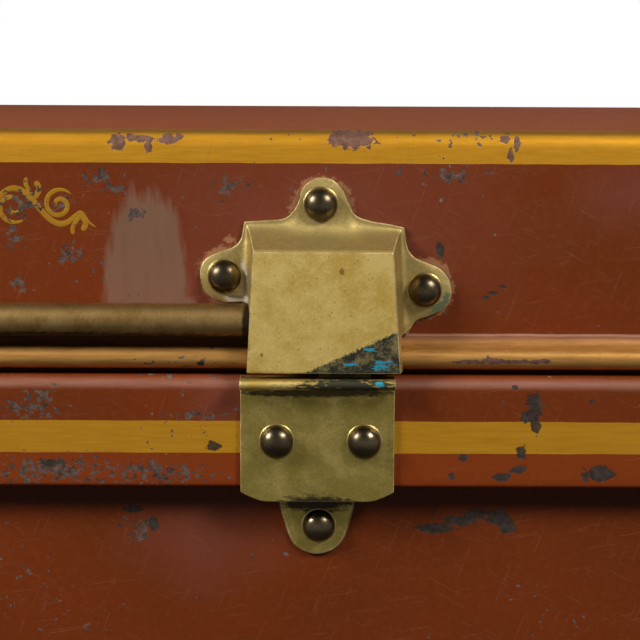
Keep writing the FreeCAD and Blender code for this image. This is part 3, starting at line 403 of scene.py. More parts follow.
def scuffed(tree, place, cloud, mottle, colour, haloes):
    """Rims round haloes (x, z, radius), broken by both noises, then scratches: noise drawn out along tilted lines."""
    for x, z, radius in haloes:
        ear = (LATCH_X + x, -FACE, JOINT + z)
        away = add(tree, "VectorMath", {0: place, 1: ear}, out="Value", operation="DISTANCE")
        away = add(tree, "Math", {0: mottle, 1: RIM_RAGGED, 2: away}, operation="MULTIPLY_ADD")
        away = add(tree, "Math", {0: cloud, 1: RIM_CLOUDED, 2: away}, operation="MULTIPLY_ADD")
        rim = add(tree, "MapRange", {"Value": away, "From Min": radius + 9.3, "From Max": radius + 8.4})
        rim = add(tree, "Math", {0: rim, 1: 0.62}, operation="MULTIPLY")
        colour = add(tree, "Mix", {"Factor": rim, UNDER: colour, OVER: RIM}, **COLOURS)
    for tilt in (0.16, -0.5, 1.2):
        along = add(tree, "VectorRotate", {"Vector": place, "Angle": tilt}, rotation_type="Y_AXIS")
        along = add(tree, "VectorMath", {0: along, 1: (0.06, 1.0, 2.6)}, operation="MULTIPLY")
        hair = add(tree, "TexNoise", {"Vector": along, "Scale": 1.1, "Detail": 1.0})
        hair = add(tree, "MapRange", {"Value": hair, "From Min": 0.7, "From Max": 0.78})
        hair = add(tree, "Math", {0: hair, 1: 0.22}, operation="MULTIPLY")
        colour = add(tree, "Mix", {"Factor": hair, UNDER: colour, OVER: SCRATCH}, **COLOURS)
    return colour


def scattered_flakes(tree, place, height, cloud, worn):
    """Mask of small flakes: noise over a limit, which is lower in clouds and near the worn heights (z, spread)."""
    flakes = add(tree, "TexNoise", {"Vector": place, "Scale": 1 / 2.0, "Detail": 2.0, "Roughness": 0.5})
    limit = add(tree, "MapRange", {"Value": cloud, "From Min": 0.5, "From Max": 0.62, "To Min": 0.78, "To Max": 0.68})
    for middle, spread in worn:
        near = add(tree, "Math", {0: height, 1: JOINT + middle}, operation="SUBTRACT")
        near = add(tree, "Math", {0: near}, operation="ABSOLUTE")
        near = add(tree, "MapRange", {"Value": near, "From Min": spread, "From Max": 0.0, "To Max": 0.13})
        clouded = add(tree, "MapRange", {"Value": cloud, "From Min": 0.45, "From Max": 0.6})
        near = add(tree, "Math", {0: near, 1: clouded}, operation="MULTIPLY")
        limit = add(tree, "Math", {0: limit, 1: near}, operation="SUBTRACT")
    return add(tree, "Math", {0: flakes, 1: limit}, operation="GREATER_THAN")


print("wear: rims, scratches and flakes")

# %% [markdown]
# One function then makes each coat from these layers.  Where a flake is off, the surface is a little lower and much
# rougher, and that edge catches the light as a real one does.

# %% Painted coat
LOST_GOLD = (2.0, 1 / 1.6, 0.52, linear("#62443c"), linear("#8d6a62"))
SCAB = (5.0, 1 / 1.8, 0.38, linear("#342b27"), linear("#76645a"))
CHIP = (2.2, 1 / 1.9, 0.52, linear("#28241f"), linear("#4a433d"))


def paint(name, lines=(), lost=(), chips=(), scabs=(), rubbed=(), touched=(), haloes=(), worn=(), gloss=0.22):
    """Old paint with its lines and wear.

    lost is gold gone down to the paint, chips are whole flakes off and scabs are scattered ones, all as spots; the
    rest is what the layers above take.  gloss is the sheen that is left.
    """
    material, tree, shader, place = finish(name)
    cloud = add(tree, "TexNoise", {"Vector": place, "Scale": 1 / 55, "Detail": 3.0, "Roughness": 0.55})
    mottle = add(tree, "TexNoise", {"Vector": place, "Scale": 1 / 1.6, "Detail": 5.0, "Roughness": 0.65})
    height = add(tree, "SeparateXYZ", {0: place}, out="Z")
    colour = ground_coat(tree, place, cloud, mottle, rubbed, touched)
    colour, metal = brushed_lines(tree, place, height, colour, lines)
    if metal is not None:
        tree.links.new(metal, shader.inputs["Metallic"])
    colour = scuffed(tree, place, cloud, mottle, colour, haloes)
    bare = scattered_flakes(tree, place, height, cloud, worn)
    scale = add(tree, "MapRange", {"Value": mottle, "From Min": 0.35, "From Max": 0.7})
    primer = add(tree, "Mix", {"Factor": scale, UNDER: PRIMER_DARK, OVER: PRIMER_PALE}, **COLOURS)
    hidden = add(tree, "Math", {0: bare, 1: COVER}, operation="MULTIPLY")
    colour = add(tree, "Mix", {"Factor": hidden, UNDER: colour, OVER: primer}, **COLOURS)
    for blots, (ragged, grain, full, dark, pale) in ((lost, LOST_GOLD), (scabs, SCAB), (chips, CHIP)):
        if blots:
            off = spots(tree, place, blots, ragged, grain, full=full)
            primer = add(tree, "Mix", {"Factor": scale, UNDER: dark, OVER: pale}, **COLOURS)
            hidden = add(tree, "Math", {0: off, 1: COVER}, operation="MULTIPLY")
            colour = add(tree, "Mix", {"Factor": hidden, UNDER: colour, OVER: primer}, **COLOURS)
            bare = add(tree, "Math", {0: bare, 1: off}, operation="MAXIMUM")
    tree.links.new(colour, shader.inputs["Base Color"])
    rough = add(tree, "MapRange", {"Value": mottle, "To Min": 0.34, "To Max": 0.5})
    rough = add(tree, "MapRange", {"Value": bare, "To Min": rough, "To Max": 0.62})
    tree.links.new(rough, shader.inputs["Roughness"])
    shader.inputs["Specular IOR Level"].default_value = gloss
    relief = add(tree, "Math", {0: bare, 1: -1.5, 2: mottle}, operation="MULTIPLY_ADD")
    bump = add(tree, "Bump", {"Height": relief, "Strength": 0.3, "Distance": 0.0001})
    tree.links.new(bump, shader.inputs["Normal"])
    return material


print("flakes of", round(1 / LOST_GOLD[1], 1), "to", round(1 / CHIP[1], 1), "mm")

# %% [markdown]
# Each sheet has its own coat, because each was lined and worn by itself.  The lid has a gold edge above, darkened by
# painted shade over the top of its rounding, a flare at the foot of its face painted lighter where light falls on it,
# with a painted highlight along its crease, and a bronze bead on the rolled rim.  Gold scatters some light and
# mirrors some, so its share of metal is about a half.

# %% Coat of the lid
lid_paint = paint(
    "stoved_paint_lid",
    # bands 2 to 4 are painted light: shade on the gold's upper rounding, a lighter flare, a highlight on its crease
    [(58.7, 80.0, "#efac2e", "#d59320", 0.5, 0.2), (66.7, 80.0, "#a5762e", "#8c6024", 0.3, 1.3),
     (7.0, 10.6, "#a0684a", "#7e4a2e", 0.0, 0.2), (9.9, 10.5, "#bd8f78", "#9d6e58", 0.0, 0.3),
     (-6.0, 8.4, "#e4aa5e", "#b67d3a", 0.7, 3.2)],
    lost=[(-57.1, 64.4, 2.1, 2.2), (-53.2, 65.9, 1.3, 1.1), (-50.0, 65.5, 2.6, 1.1), (-48.4, 63.3, 1.0, 1.6),
          (-43.0, 65.2, 2.8, 1.4), (-39.9, 65.9, 1.1, 0.9), (8.6, 65.4, 6.6, 2.6), (51.7, 65.6, 1.5, 1.1),
          (55.0, 64.3, 0.9, 2.2), (53.4, 60.9, 0.9, 1.9), (42.5, 3.4, 4.6, 0.6), (48.6, 3.7, 3.4, 0.9),
          (55.4, 3.4, 5.2, 0.6), (62.2, 3.6, 3.0, 0.7)],
    chips=[(33.8, 34.5, 1.1, 2.0), (46.9, 20.9, 1.0, 0.5), (49.1, 22.2, 1.4, 0.5), (51.9, 24.0, 1.2, 0.5),
           (-33.6, 2.6, 1.0, 0.8)],
    scabs=[(-62.0, 55.0, 7.6, 3.0), (-57.0, 51.0, 4.2, 2.5), (-82.0, 47.5, 4.2, 5.0), (-72.0, 47.0, 3.4, 3.4),
           (-86.0, 38.0, 3.8, 3.8), (-70.5, 32.5, 5.0, 3.8), (-24.9, 52.2, 6.8, 4.2), (22.0, 56.5, 2.2, 2.6),
           (37.0, 55.5, 7.6, 2.6), (-52.0, 44.5, 4.2, 2.6), (-85.0, 24.0, 4.0, 2.6)],
    rubbed=[(2.0, 40.0, 42.0, 22.0), (-30.0, 24.0, 14.0, 14.0), (86.0, 50.0, 14.0, 8.0)],
    touched=[(-49.4, 24.0, 11.8, 27.0), (-41.5, 13.0, 8.0, 9.0)],
    haloes=[(0.1, 46.6, 8.2), (-26.0, 27.0, 8.0), (29.2, 23.0, 8.0), (-25.6, 37.0, 0.4)],
    worn=[(66.0, 3.0), (3.0, 3.0)])
print("lid's coat:", len(lid_paint.node_tree.nodes), "nodes")

# %% [markdown]
# The collar has one broad line, a painted sheen along its round upper edge and most of the knocks.  The wall is plain
# and worn at its foot, and the top, where cases were stacked, has lost almost all its sheen and is painted lighter
# where light falls on it.

# %% Coats of the collar, wall and top
collar_paint = paint(
    "stoved_paint_collar",
    # the band from -4.1 to -2.0 mm is a painted sheen on the round upper edge
    [(-33.0, -22.9, "#8b3b10", "#82370e", 0.0, 0.2), (-4.1, -2.0, "#a06a56", "#84523d", 0.0, 2.0),
     (-22.9, -13.7, "#dfa028", "#c98c1e", 0.5, 0.2)],
    chips=[(60.6, -9.0, 2.2, 4.4), (58.3, -12.5, 1.4, 1.6), (61.0, -14.5, 1.4, 2.4), (57.3, -22.6, 1.5, 1.7),
           (56.2, -27.4, 2.0, 1.4), (52.0, -29.6, 2.4, 1.1), (79.4, -28.7, 4.6, 2.3), (41.0, -24.2, 1.4, 1.0),
           (37.4, -29.6, 0.8, 1.0), (55.0, -3.9, 0.9, 0.7), (76.9, -7.7, 0.7, 0.7), (-30.2, -21.0, 1.9, 1.2),
           (-76.5, -26.0, 2.6, 0.9)],
    scabs=[(-83.0, -10.6, 15.0, 3.4), (-79.0, -6.5, 6.0, 3.2), (-76.0, -28.2, 26.0, 5.4), (-47.0, -28.6, 20.0, 4.6),
           (-36.0, -12.2, 10.0, 1.6)],
    rubbed=[(-26.0, -8.0, 9.0, 7.0)], worn=[(-31.5, 5.0), (-1.0, 2.5)])
wall_paint = paint(
    "stoved_paint_wall",
    chips=[(33.5, -46.6, 5.0, 1.5), (40.0, -44.4, 5.0, 1.5), (45.5, -42.4, 3.6, 1.5), (52.0, -43.6, 3.6, 2.2),
           (54.6, -46.0, 2.0, 2.4), (-48.0, -45.5, 1.5, 2.2), (-54.0, -41.4, 2.6, 1.0)],
    scabs=[(-52.0, -47.0, 6.0, 4.0)], rubbed=[(-34.0, -50.0, 16.0, 12.0)], worn=[(-229.0, 16.0)])
# the band above 60 mm is painted light: the lid's top is coloured lighter, where light falls on it
top_paint = paint("stoved_paint_plain", [(60.0, 80.0, "#8c4218", "#7c3810", 0.0, 0.2)], gloss=0.015)
print("coats:", lid_paint.name, collar_paint.name, wall_paint.name, top_paint.name)

# %% [markdown]
# ### Brass
# Rolled and cast brass goes brown in air.  Hands polish what they touch, so faces stay golden, hollows and rods
# turn olive and brown, and rivet heads, rarely rubbed, go almost black.  All of it is one metal, so one function
# makes it: two tones mixed by a coarse and a fine noise, rougher where it is duller.

# %% Brass
SPECK, STAIN = linear("#4d4020"), linear("#23271f")


def stained_wedge(tree, place, grain, mixed, depth, wedge):
    """Mask of the front below a line, ragged by the grain and patchy; none where depth says that it lies back."""
    (x, z), (normal_x, normal_z) = wedge
    over = add(tree, "VectorMath", {0: place, 1: (LATCH_X + x, 0.0, JOINT + z)}, operation="SUBTRACT")
    over = add(tree, "VectorMath", {0: over, 1: (normal_x, 0.0, normal_z)}, out="Value", operation="DOT_PRODUCT")
    over = add(tree, "Math", {0: grain, 1: 2.4, 2: over}, operation="MULTIPLY_ADD")
    mask = add(tree, "MapRange", {"Value": over, "From Min": 1.4, "From Max": 0.8})
    patchy = add(tree, "MapRange", {"Value": mixed, "From Min": 0.7, "From Max": 0.9, "To Min": 1.0, "To Max": 0.7})
    mask = add(tree, "Math", {0: mask, 1: patchy}, operation="MULTIPLY")
    return add(tree, "MapRange", {"Value": depth, "To Min": mask, "To Max": 0.0})


def brass(name, bright, dull, satin, specks=0.0, marks=(), wedge=None, hollow=None, metallic=1.0):
    """Aged brass between two tones, with fine rubbing marks and dark pin-point specks.

    marks are (ellipses, raggedness, colour, share of metal left); hollow is (distance out, colour) of the tarnish
    nearer the lid; wedge, which needs a hollow, is a stain below a line on the front, as (x, z) of a point and the
    line's upward normal.
    """
    material, tree, shader, place = finish(name)
    blotch = add(tree, "TexNoise", {"Vector": place, "Scale": 1 / 8, "Detail": 5.0, "Roughness": 0.6})
    grain = add(tree, "TexNoise", {"Vector": place, "Scale": 1 / 0.7, "Detail": 4.0, "Roughness": 0.7})
    mixed = add(tree, "Math", {0: grain, 1: 0.5, 2: blotch}, operation="MULTIPLY_ADD")
    tone = add(tree, "MapRange", {"Value": mixed, "From Min": 0.6, "From Max": 0.9})
    colour = add(tree, "Mix", {"Factor": tone, UNDER: linear(dull), OVER: linear(bright)}, **COLOURS)
    if hollow:
        out, tarnish = -FACE - hollow[0], linear(hollow[1])
        depth = add(tree, "SeparateXYZ", {0: place}, out="Y")
        depth = add(tree, "MapRange", {"Value": depth, "From Min": out, "From Max": out + 0.8})
        patchy = add(tree, "MapRange", {"Value": mixed, "From Min": 0.6, "From Max": 0.95, "To Min": 1.0,
                                        "To Max": 0.5})
        mask = add(tree, "Math", {0: depth, 1: patchy}, operation="MULTIPLY")
        colour = add(tree, "Mix", {"Factor": mask, UNDER: colour, OVER: tarnish}, **COLOURS)
    if specks:
        pin = add(tree, "TexVoronoi", {"Vector": place, "Scale": 1 / 1.9, "Randomness": 1.0}, out="Distance")
        pin = add(tree, "MapRange", {"Value": pin, "From Min": 0.15, "From Max": 0.05, "To Max": specks})
        colour = add(tree, "Mix", {"Factor": pin, UNDER: colour, OVER: SPECK}, **COLOURS)
    metal = metallic
    if wedge:
        mask = stained_wedge(tree, place, grain, mixed, depth, wedge)
        colour = add(tree, "Mix", {"Factor": mask, UNDER: colour, OVER: STAIN}, **COLOURS)
        metal = add(tree, "MapRange", {"Value": mask, "To Min": metal, "To Max": 0.35})
    for blots, ragged, tint, left in marks:
        smear = add(tree, "VectorMath", {0: place, 1: (0.5, 1.0, 1.5)}, operation="MULTIPLY")
        mask = spots(tree, place, blots, ragged, 1 / 1.1, smear, 0.47, 0.2)
        colour = add(tree, "Mix", {"Factor": mask, UNDER: colour, OVER: linear(tint)}, **COLOURS)
        metal = add(tree, "MapRange", {"Value": mask, "To Min": metal, "To Max": left})
    tree.links.new(colour, shader.inputs["Base Color"])
    if wedge or marks:
        tree.links.new(metal, shader.inputs["Metallic"])
    else:
        shader.inputs["Metallic"].default_value = metal
    rough = add(tree, "MapRange", {"Value": mixed, "From Min": 0.45, "From Max": 1.05, "To Min": satin + 0.12,
                                   "To Max": satin - 0.06})
    tree.links.new(rough, shader.inputs["Roughness"])
    bump = add(tree, "Bump", {"Height": grain, "Strength": 0.2, "Distance": 0.00004})
    tree.links.new(bump, shader.inputs["Normal"])
    return material


print("brass: tones mixed by noises of 8 and 0.7 mm")

# %% [markdown]
# The latch box is the brightest brass, with a black wedge of old grease, blue-green paint in its corner and a pale
# smear at an ear.  The keeper below it is a shade darker, stained on its lip, with painted shade under the lip and on
# its ear below the plate.  Rods are brown with painted shade along the underside and at the end by the box, rivets
# nearly black but smooth, and pressed edges pale where they are rubbed and painted pale as their highlight.

# %% Brass of the fittings
BLUE_PAINT = "#1f8fa8"
pressed_brass = brass(
    "pressed_brass", "#ffe18c", "#d6b65e", 0.56, 0.6, wedge=((-4.7, 0.75), (-0.414, 0.910)), hollow=(11.0, "#b39d64"),
    marks=[([(17.6, 3.2, 2.5, 1.3), (14.2, 7.6, 1.6, 0.5), (8.6, 3.4, 1.8, 0.4)], 4.5, BLUE_PAINT, 0.0),
           ([(6.0, 29.4, 0.7, 1.1), (-16.2, 6.0, 0.4, 0.6)], 2.2, "#a1803f", 0.9),
           ([(-21.8, 26.0, 1.2, 5.0), (-23.6, 20.6, 3.6, 1.3)], 1.6, "#ded8c4", 0.0),
           ([(33.8, 18.2, 3.2, 1.9), (35.8, 20.6, 1.1, 2.4)], 3.0, "#76825e", 0.4)])
keeper_brass = brass(
    "tarnished_brass", "#fadc88", "#cdae5a", 0.5, 0.5, hollow=(9.6, "#a08e47"),
    # the second mark, under the lip, and the last, on the ear below the plate, are painted shade
    marks=[([(8.0, -2.4, 15.5, 2.3)], 2.8, "#3a3826", 0.5), ([(-0.6, -5.4, 22.0, 1.2)], 1.6, "#584a26", 0.8),
           ([(16.4, -2.2, 1.1, 0.7)], 3.5, BLUE_PAINT, 0.0), ([(-0.6, -38.2, 12.0, 3.4)], 1.6, "#3a2f16", 0.6)])
# rubbed edges, paler and less metallic than brass so they look bright from any side: partly a painted highlight
edge_brass = brass("rubbed_brass_edge_painted_highlight", "#dcc48a", "#9c8449", 0.42, metallic=0.3)
# the hooks show in the gap under the latch box, so they are painted near black: painted shade
shaded_hook_brass = brass("brass_hook_painted_shade", "#4a3d28", "#2e2516", 0.5)
seat_brass = brass("polished_brass_ring", "#d9c48a", "#b59f62", 0.3)
rod_brass = brass("brown_brass_rod", "#b8975f", "#8c6c3d", 0.46,
                  # both marks are painted shade: along the rod's underside, and at its end by the box
                  marks=[([(-110.0, 10.2, 100.0, 1.9)], 0.9, "#2a1c0e", 0.6),
                         ([(-20.2, 13.5, 1.6, 9.0)], 0.6, "#3a2a16", 0.7)])
rivet_bronze = brass("blackened_brass_rivet", "#776950", "#544938", 0.27)
handle_brass = brass("handled_brass", "#b59a58", "#7d6732", 0.36)
print("finishes so far:", len(bpy.data.materials))

# %% [markdown]
# ### What the CAD nodes wear
# Drawn steel wire is a grey metal with a soft sheen.  Nodes that no new piece stands for stay in view as they are:
# racks are brown brass like the rods, hooks are brass painted near black as painted shade in the gap under the box,
# and the top and bottom sheets have the dull coat.

# %% Steel wire, and finishes of the CAD nodes
steel, steel_tree, steel_shader, steel_place = finish("drawn_steel_wire")
steel_noise = add(steel_tree, "TexNoise", {"Vector": steel_place, "Scale": 1 / 2, "Detail": 4.0})
steel_tone = add(steel_tree, "Mix", {"Factor": steel_noise, UNDER: linear("#6d6a66"), OVER: linear("#9a9792")},
                 **COLOURS)
steel_tree.links.new(steel_tone, steel_shader.inputs["Base Color"])
steel_shader.inputs["Metallic"].default_value = 1.0
steel_shader.inputs["Roughness"].default_value = 0.4

slot_finish = {"brass": handle_brass, "steel_wire": steel}
slots = {part["node"]: part["material_slot"] for part in frame["record"]["subparts"]}
node_finish = {"lid_top": top_paint, "bottom_pan": top_paint}
for side, _ in SIDES:
    node_finish |= {f"{side}_rack": rod_brass, f"{side}_keeper_tongue": shaded_hook_brass}
for name, node in frame["nodes"].items():
    node.data.materials.clear()
    node.data.materials.append(node_finish.get(name, slot_finish.get(slots[name], wall_paint)))
print("finishes:", len(bpy.data.materials), "on", len(slots), "CAD nodes")

# %% [markdown]
# ## Sheets of the case
# The real case is folded tinplate: a wall wrapped round the bottom, a hollow band soldered round the mouth to
# stiffen it, and a lid whose rim is rolled round a wire.  Each could be a box with its edges bevelled, but rolled
# rims and flares are sections, so each sheet is one closed section carried round a rounded rectangle.

# %% Lid skirt
def bend(start, corner, end, count=8):
    """Quadratic curve from start to end, pulled towards the corner: a fillet without its circle."""
    t = np.linspace(0, 1, count)[:, None]
    start, corner, end = (np.asarray(point, float) for point in (start, corner, end))
    return (1 - t) ** 2 * start + 2 * t * (1 - t) * corner + t ** 2 * end


EDGE_R = 5.0
ROLL_OUT, ROLL_Z, ROLL_R = 4.6, 233.9, 3.1  # rim rolled round its wire
FLARE_TOP, FLARE_FOOT, FLARE_IN = 241.0, 236.98, 239.7  # where the skirt flares out to the roll
edge_in, edge_z = LID_OUT - EDGE_R, LID_TOP - EDGE_R
inner_edge = arc(edge_in, edge_z, EDGE_R - SHEET, 0, 90, 9)
inner_face = line((LID_OUT - SHEET, FLARE_IN), (LID_OUT - SHEET, edge_z - 2), 6)
lid_section = np.concatenate([
    arc(edge_in, edge_z, EDGE_R, 90, 0, 13), line((LID_OUT, edge_z - 2), (LID_OUT, FLARE_TOP + 1.5), 8),
    bend((LID_OUT, FLARE_TOP), (LID_OUT + 0.1, FLARE_FOOT + 0.42), (ROLL_OUT + 0.15, FLARE_FOOT), 9),
    arc(ROLL_OUT, ROLL_Z, ROLL_R, 82, -170, 27), inner_face, inner_edge])
hidden = np.arange(len(lid_section)) >= len(lid_section) - len(inner_face) - len(inner_edge) - 1
piece("lid_skirt", [patch(carried_round(lid_section), True, True)], lid_paint, "lid",
      [f"lid_{side}" for side in WALLS] + ["lid_rim_wire"], inside=(top_paint, np.tile(hidden, len(PATH))))
print("lid's section:", len(lid_section), "points")

# %% [markdown]
# The collar is a channel: a flat face between a round shoulder and a tight turn at its foot, open to the wall behind.
# The wall is a flat sheet with its foot turned out over the bottom's edge.

# %% Collar and wall
COLLAR_TOP, SHOULDER_R, TURN_R, TURN_Z, FACE_FOOT, FACE_HEAD = 229.2, 4, 1.5, 198.35, 200.1, 224
ROOT = 0.05  # the channel's edges stop this far from the wall
collar_in, collar_foot = COLLAR_DEPTH - SHEET, TURN_Z - TURN_R
shoulder_out, shoulder_z, turn_out = COLLAR_DEPTH - SHOULDER_R, COLLAR_TOP - SHOULDER_R, COLLAR_DEPTH - TURN_R
collar_section = np.concatenate([
    line((ROOT, COLLAR_TOP), (3.6, COLLAR_TOP), 3), arc(shoulder_out, shoulder_z, SHOULDER_R, 90, 0, 10),
    line((COLLAR_DEPTH, FACE_HEAD), (COLLAR_DEPTH, FACE_FOOT), 4), arc(turn_out, TURN_Z, TURN_R, 0, -90, 6),
    line((6.0, collar_foot), (ROOT, collar_foot), 3),
    line((ROOT, collar_foot + SHEET), (6.0, collar_foot + SHEET), 3),
    arc(turn_out, TURN_Z, TURN_R - SHEET, -90, 0, 4), line((collar_in, FACE_FOOT), (collar_in, FACE_HEAD), 4),
    arc(shoulder_out, shoulder_z, SHOULDER_R - SHEET, 0, 90, 6),
    line((3.6, COLLAR_TOP - SHEET), (ROOT, COLLAR_TOP - SHEET), 3)])
piece("collar", [patch(carried_round(collar_section), True, True)], collar_paint, "trunk_body",
      [f"collar_{side}" for side in WALLS])

MOUTH, FOOT_OUT = 244, 3.0
wall_section = np.concatenate([
    line((0, MOUTH), (0, 4), 12), bend((0, 3.2), (0, 2 * SHEET), (1.4, 2 * SHEET), 5),
    line((2.0, 2 * SHEET), (FOOT_OUT, 2 * SHEET), 2), line((FOOT_OUT, SHEET), (-0.3, SHEET), 3),
    line((-SHEET, 1.6), (-SHEET, MOUTH), 10)])
piece("wall", [patch(carried_round(wall_section), True, True)], wall_paint, "trunk_body",
      [f"wall_{side}" for side in WALLS])
print("sections: collar", len(collar_section), "points, wall", len(wall_section), "points")

# %% [markdown]
# ## Gold scroll
# A liner's brush is pressed to open a stroke and lifted to end it in a point, so each stroke is a lens-shaped film
# as wide as the brush is pressed, carried along a smooth curve.  The scroll runs on: a waving stem, with a volute in
# each bend and two leaves beside it, turned the other way from bend to bend.  As a film it can be flaked like paint.

# %% Brushed strokes
def stroke(points, width, count=48):
    """Closed film along a curve: point = middle + normal * half width * across, proud by a lens of 0.04 mm."""
    middle = smooth_through(points, count)
    s = np.linspace(0, 1, count)[:, None]
    pressed = np.sqrt(np.minimum(1.0, 7 * np.minimum(s, 1 - s)))
    across = np.array([-1, -0.7, 0, 0.7, 1, 0]) * pressed * width / 2
    proud = np.array([0, 0.03, 0.04, 0.03, 0, -0.02]) * pressed
    return middle[:, None] + outline_normals(middle, False)[:, None] * across[..., None], proud


def curl(x, z, radius, start, sweep, count=26):
    """Spiral about (x, z): the angle runs on by sweep degrees while the radius shrinks to a sixth."""
    turn = np.radians(np.linspace(start, start + sweep, count))[:, None]
    shrink = np.linspace(radius, radius / 6, count)[:, None]
    return np.array([x, z]) + shrink * np.concatenate([np.cos(turn), np.sin(turn)], 1)


WAVE, STEM_RISE, SCROLL_Z, SCROLL_END, VOLUTES = 26.0, 5.0, 46.4, -63.2, 5
stem_x = np.linspace(SCROLL_END - 6.0, SCROLL_END - 64.0, 30)
phase = 2 * np.pi * (stem_x - SCROLL_END + 10.0) / WAVE + np.pi
stem = np.stack([stem_x, SCROLL_Z + STEM_RISE * np.cos(phase)], -1)
stem = np.concatenate([[(SCROLL_END, 40.4), (SCROLL_END - 2.2, 42.0), (SCROLL_END - 4.2, 44.6)], stem])
LEAVES = (([(5.2, 1.8), (7.0, 4.6), (6.0, 7.0)], 1.6), ([(5.6, 2.4), (3.4, 5.8), (3.4, 8.0)], 1.2))
strokes = [stroke(stem, 1.6, 160)]
for k in range(VOLUTES):
    x, up = SCROLL_END - 10.0 - k * WAVE / 2, 1 if k % 2 else -1
    strokes.append(stroke(curl(x - 0.4, SCROLL_Z - up * 0.4, 4.6, -up * 40, -up * 520), 1.3, 70))
    strokes += [stroke([(x + away, SCROLL_Z + up * rise) for away, rise in leaf], width) for leaf, width in LEAVES]
print("scroll strokes:", len(strokes), "a side")

# %% [markdown]
# Bronze powder in oil size is thinner here than in the lines, so the brown shows through and flakes take its far end.

# %% Scroll on the lid's front
scroll_paint = paint("gold_size_scroll", [(0.0, 80.0, "#c48e26", "#ab781a", 0.3, 0.2)],
                     scabs=[(-84.0, 48.0, 9.0, 6.0)])
for side, sign in SIDES:
    films = [patch(on_front(sign * (LATCH_X + film[..., 0]), proud, film[..., 1]), wrap_columns=True)
             for film, proud in strokes]
    piece(f"{side}_gold_scroll", films, scroll_paint, "lid")
print("scroll:", len(films), "films a side")

# %% [markdown]
# ## Pressed boxes over the bolts
# Each box is one blank of brass pressed over a die: ears stay flat on the lid, a hollow fillet runs up into
# sloped sides, and the face is flat.  A bevelled block with flat ears beside it would show a seam at the fillet, so
# one grid makes it: columns run from one foot round the top to the other foot, rows run from the ear's edge up the
# fillet and slope and over the face to its middle.

# %% Pressed box
def pressed_box(ears, root, face, depth, notches, fillet, counts=(14, 44, 64)):
    """Shell grid of a pressed box in the front frame, and the mask of the faces that are kept.

    ears is the outline's (left, top, right) runs, root and face are corners (foot left, top left, top right, foot
    right) where slope meets ear plane and face, notches is ((z, p) left, (z, p) right): below z nothing of the side
    nearer the lid than p is kept.  Between ear and slope the row is a quadratic fillet about the root, of the size
    fillet = (at the sides, along the top), and the two sizes run into each other near the corners.
    """
    low, side, top = counts
    root, face = np.asarray(root, float), np.asarray(face, float)
    edge, foot, rim, spine = [], [], [], []
    for k in (0, 1):
        run = slice(None) if k == 0 else slice(None, None, -1)
        ends = (0, 1) if k == 0 else (3, 2)
        cut = notches[k][0]
        share = (cut - root[ends[0]][1]) / (root[ends[1]][1] - root[ends[0]][1])
        t = np.concatenate([np.linspace(0, share, low)[:-1], np.linspace(share, 1, side)])[:, None]
        base = root[ends[0]] + (root[ends[1]] - root[ends[0]]) * t
        lip = face[ends[0]] + (face[ends[1]] - face[ends[0]]) * t
        outline = resampled(smooth_through(ears[0] if k == 0 else ears[2][::-1], 400), side)
        shift = np.array([-1.0 if k == 0 else 1.0, 0.0])
        outline = np.concatenate([base[:low - 1] + shift, outline])
        middle = np.stack([np.full(len(t), face[:, 0].mean()), np.linspace(face[0][1], face[1][1] - 9, len(t))], -1)
        for rows, points in ((edge, outline), (foot, base), (rim, lip), (spine, middle)):
            rows.append(points[run])
    t = np.linspace(0, 1, top)[1:-1, None]
    crown = resampled(smooth_through(ears[1], 400), top)[1:-1]
    runs = []
    for rows, between in ((edge, crown), (foot, root[1] + (root[2] - root[1]) * t),
                          (rim, face[1] + (face[2] - face[1]) * t), (spine, np.repeat(spine[0][-1:], top - 2, 0))):
        runs.append(np.concatenate([rows[0], between, rows[1]]))
    edge, foot, rim, spine = runs
    flat = np.full((len(edge), 1), PLATE)
    edge, foot = np.concatenate([edge, flat], 1), np.concatenate([foot, flat], 1)
    rim, spine = (np.concatenate([run, np.full((len(run), 1), depth)], 1) for run in (rim, spine))
    column = np.arange(len(edge))
    inside = np.minimum(column - (low + side - 2), len(column) - 1 - (low + side - 2) - column)
    size = np.interp(inside, [-6, 2], fillet)[:, None]
    out = edge - foot
    reach = np.linalg.norm(out, axis=1, keepdims=True)
    start = foot + out / np.maximum(reach, 1e-6) * np.minimum(size, reach * 0.62)
    climb = rim - foot
    end = foot + climb / np.linalg.norm(climb, axis=1, keepdims=True) * size
    rows = [edge + (start - edge) * s for s in (0, 0.5, 0.75)]
    rows += [(1 - s) ** 2 * start + 2 * s * (1 - s) * foot + s ** 2 * end for s in np.linspace(0, 1, 9)]
    levels = sorted({notches[0][1], notches[1][1], depth - 0.8, depth})
    rows += [foot + climb * (level - PLATE) / (depth - PLATE) for level in levels]
    rows += [rim + (spine - rim) * s for s in (0.08, 0.2, 0.4, 0.6, 0.8, 1.0)]
    grid = np.stack(rows, 1)
    middle = 0.25 * (grid[:-1, :-1] + grid[1:, :-1] + grid[:-1, 1:] + grid[1:, 1:])
    column = np.arange(len(middle))[:, None]
    cut_left = (column < low - 1) & (middle[..., 2] < notches[0][1])
    cut_right = (column >= len(middle) - low + 1) & (middle[..., 2] < notches[1][1])
    return grid, ~(cut_left | cut_right)


def pressed_piece(name, grid, keep, x, sign, node):
    """The grid as a shell of plate at x, mirrored for the left side, with its edges rounded, rubbed and painted pale.
    """
    shell = on_front(sign * (x + grid[..., 0]), grid[..., 2], grid[..., 1])
    piece(name, [patch(shell, keep=keep, flip=sign > 0)], pressed_brass, "lid", [node], sharp=30,
          closed=False, wall=PLATE, bevel=0.26, rubbed=edge_brass)


BOX_FOOT, ROOT_TOP, FACE_TOP = 0.75, 40.6, 34.6
BOX_FILLET = (2.0, 5.2)
print("pressed boxes stand", BOX_FOOT, "mm above the collar")

# %% [markdown]
# The latch box is not quite even: the ear on the right is lower and larger, and the right side leans out more.  The
# outlines are points read along its ears, with a smooth curve through them.

